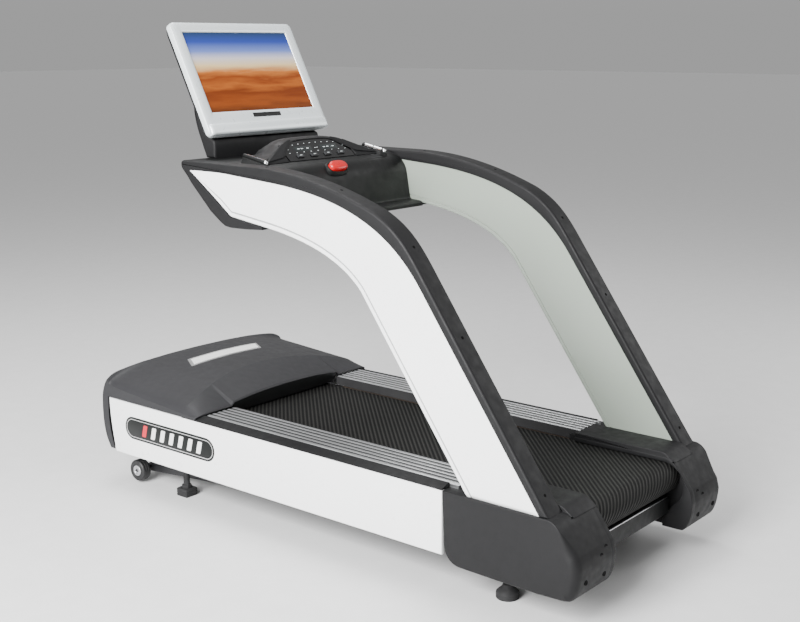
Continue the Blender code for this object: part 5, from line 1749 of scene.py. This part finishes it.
switch_low, switch_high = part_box("power_switch")
inlet_plate = plate_round_switch(switch_low, switch_high, (0.240, 1.9780, 0.203), 0.110, 0.040, 0.0025)
piece("mains_inlet_plate", [inlet_plate], console_finish)
piece(
    "mains_inlet_socket", [plate_facing_front((0.262, 1.9835, 0.203), 0.034, 0.026, 0.005, 0.005)],
    FINISH["key_sheet"],
)
pins = [
    plate_facing_front((x, 1.9850, z), 0.0022, 0.007, 0.002, 0.0005)
    for x, z in ((0.254, 0.200), (0.262, 0.207), (0.270, 0.200))
]
piece("mains_inlet_contacts", pins, FINISH["bright_steel"])
report()

# %% [markdown]
# ## Camera, floor and light
#
# The camera stands behind the machine and to its left, at about the height of its screen. The floor is a
# plain pale sheet that runs out of sight. The sky is a plain grey that is darkest at the horizon, so that it
# meets the far floor softly, and palest a little way above it. A large soft lamp on the left lights the white
# covers, a weaker one from the right lifts the shadows, and one overhead picks out the top edges.

# %% Stage
camera_data = bpy.data.cameras.new("camera")
camera_data.lens, camera_data.sensor_width = 56.11, 36.0
camera = bpy.data.objects.new("camera", camera_data)
camera.location = (-3.283, -2.730, 1.648)
camera.rotation_euler = (math.radians(77.811), 0.0, math.radians(-50.709))
bpy.context.scene.collection.objects.link(camera)
bpy.context.scene.camera = camera

floor_finish = start_finish("studio_floor", 0.42)
floor_tones = (0.3, srgb(224, 224, 224)), (0.7, srgb(227, 227, 227))
feed(floor_finish, "Base Color", ramp(floor_finish, noise(floor_finish, 12.0, 1.0), *floor_tones))
FLOOR_REACH = 60.0
floor_corners = [
    (FLOOR_REACH * across, FLOOR_REACH * ahead, 0) for across, ahead in ((-1, -1), (1, -1), (1, 1), (-1, 1))
]
floor_mesh = bpy.data.meshes.new("floor")
floor_mesh.from_pydata(floor_corners, [], [(0, 1, 2, 3)])
floor_mesh.materials.append(floor_finish)
floor = bpy.data.objects.new("floor", floor_mesh)
bpy.context.scene.collection.objects.link(floor)

world = bpy.data.worlds.new("studio")
world.use_nodes = True
sky_nodes, sky_links = world.node_tree.nodes, world.node_tree.links
sky_place, sky_split = sky_nodes.new("ShaderNodeTexCoord"), sky_nodes.new("ShaderNodeSeparateXYZ")
sky_ramp = sky_nodes.new("ShaderNodeValToRGB")
for element, (height, grey) in zip(sky_ramp.color_ramp.elements, ((0.02, 0.385), (1.0, 0.52))):
    element.position, element.color = height, (grey, grey, grey, 1)
overhead = sky_ramp.color_ramp.elements.new(0.30)
overhead.color = (0.54, 0.54, 0.54, 1)
sky_links.new(sky_place.outputs["Generated"], sky_split.inputs["Vector"])
sky_links.new(sky_split.outputs["Z"], sky_ramp.inputs["Fac"])
sky_links.new(sky_ramp.outputs["Color"], sky_nodes["Background"].inputs["Color"])
bpy.context.scene.world = world


def add_lamp(name, place, target, size, power):
    """A square area lamp aimed at a point."""
    data = bpy.data.lights.new(name, "AREA")
    data.shape, data.size, data.energy = "SQUARE", size, power
    lamp = bpy.data.objects.new(name, data)
    lamp.location = place
    lamp.rotation_euler = (Vector(target) - Vector(place)).to_track_quat("-Z", "Y").to_euler()
    bpy.context.scene.collection.objects.link(lamp)


add_lamp("lamp_left", (-4.6, -0.6, 2.9), (0, 0, 0.6), 2.8, 900)
add_lamp("lamp_right", (3.8, -2.6, 2.6), (0, 0, 0.5), 2.4, 70)
add_lamp("lamp_top", (0.6, 1.6, 4.6), (0.4, 0.8, 0.0), 2.4, 150)
print("camera", [round(value, 3) for value in camera.location], "m from the frame's origin")
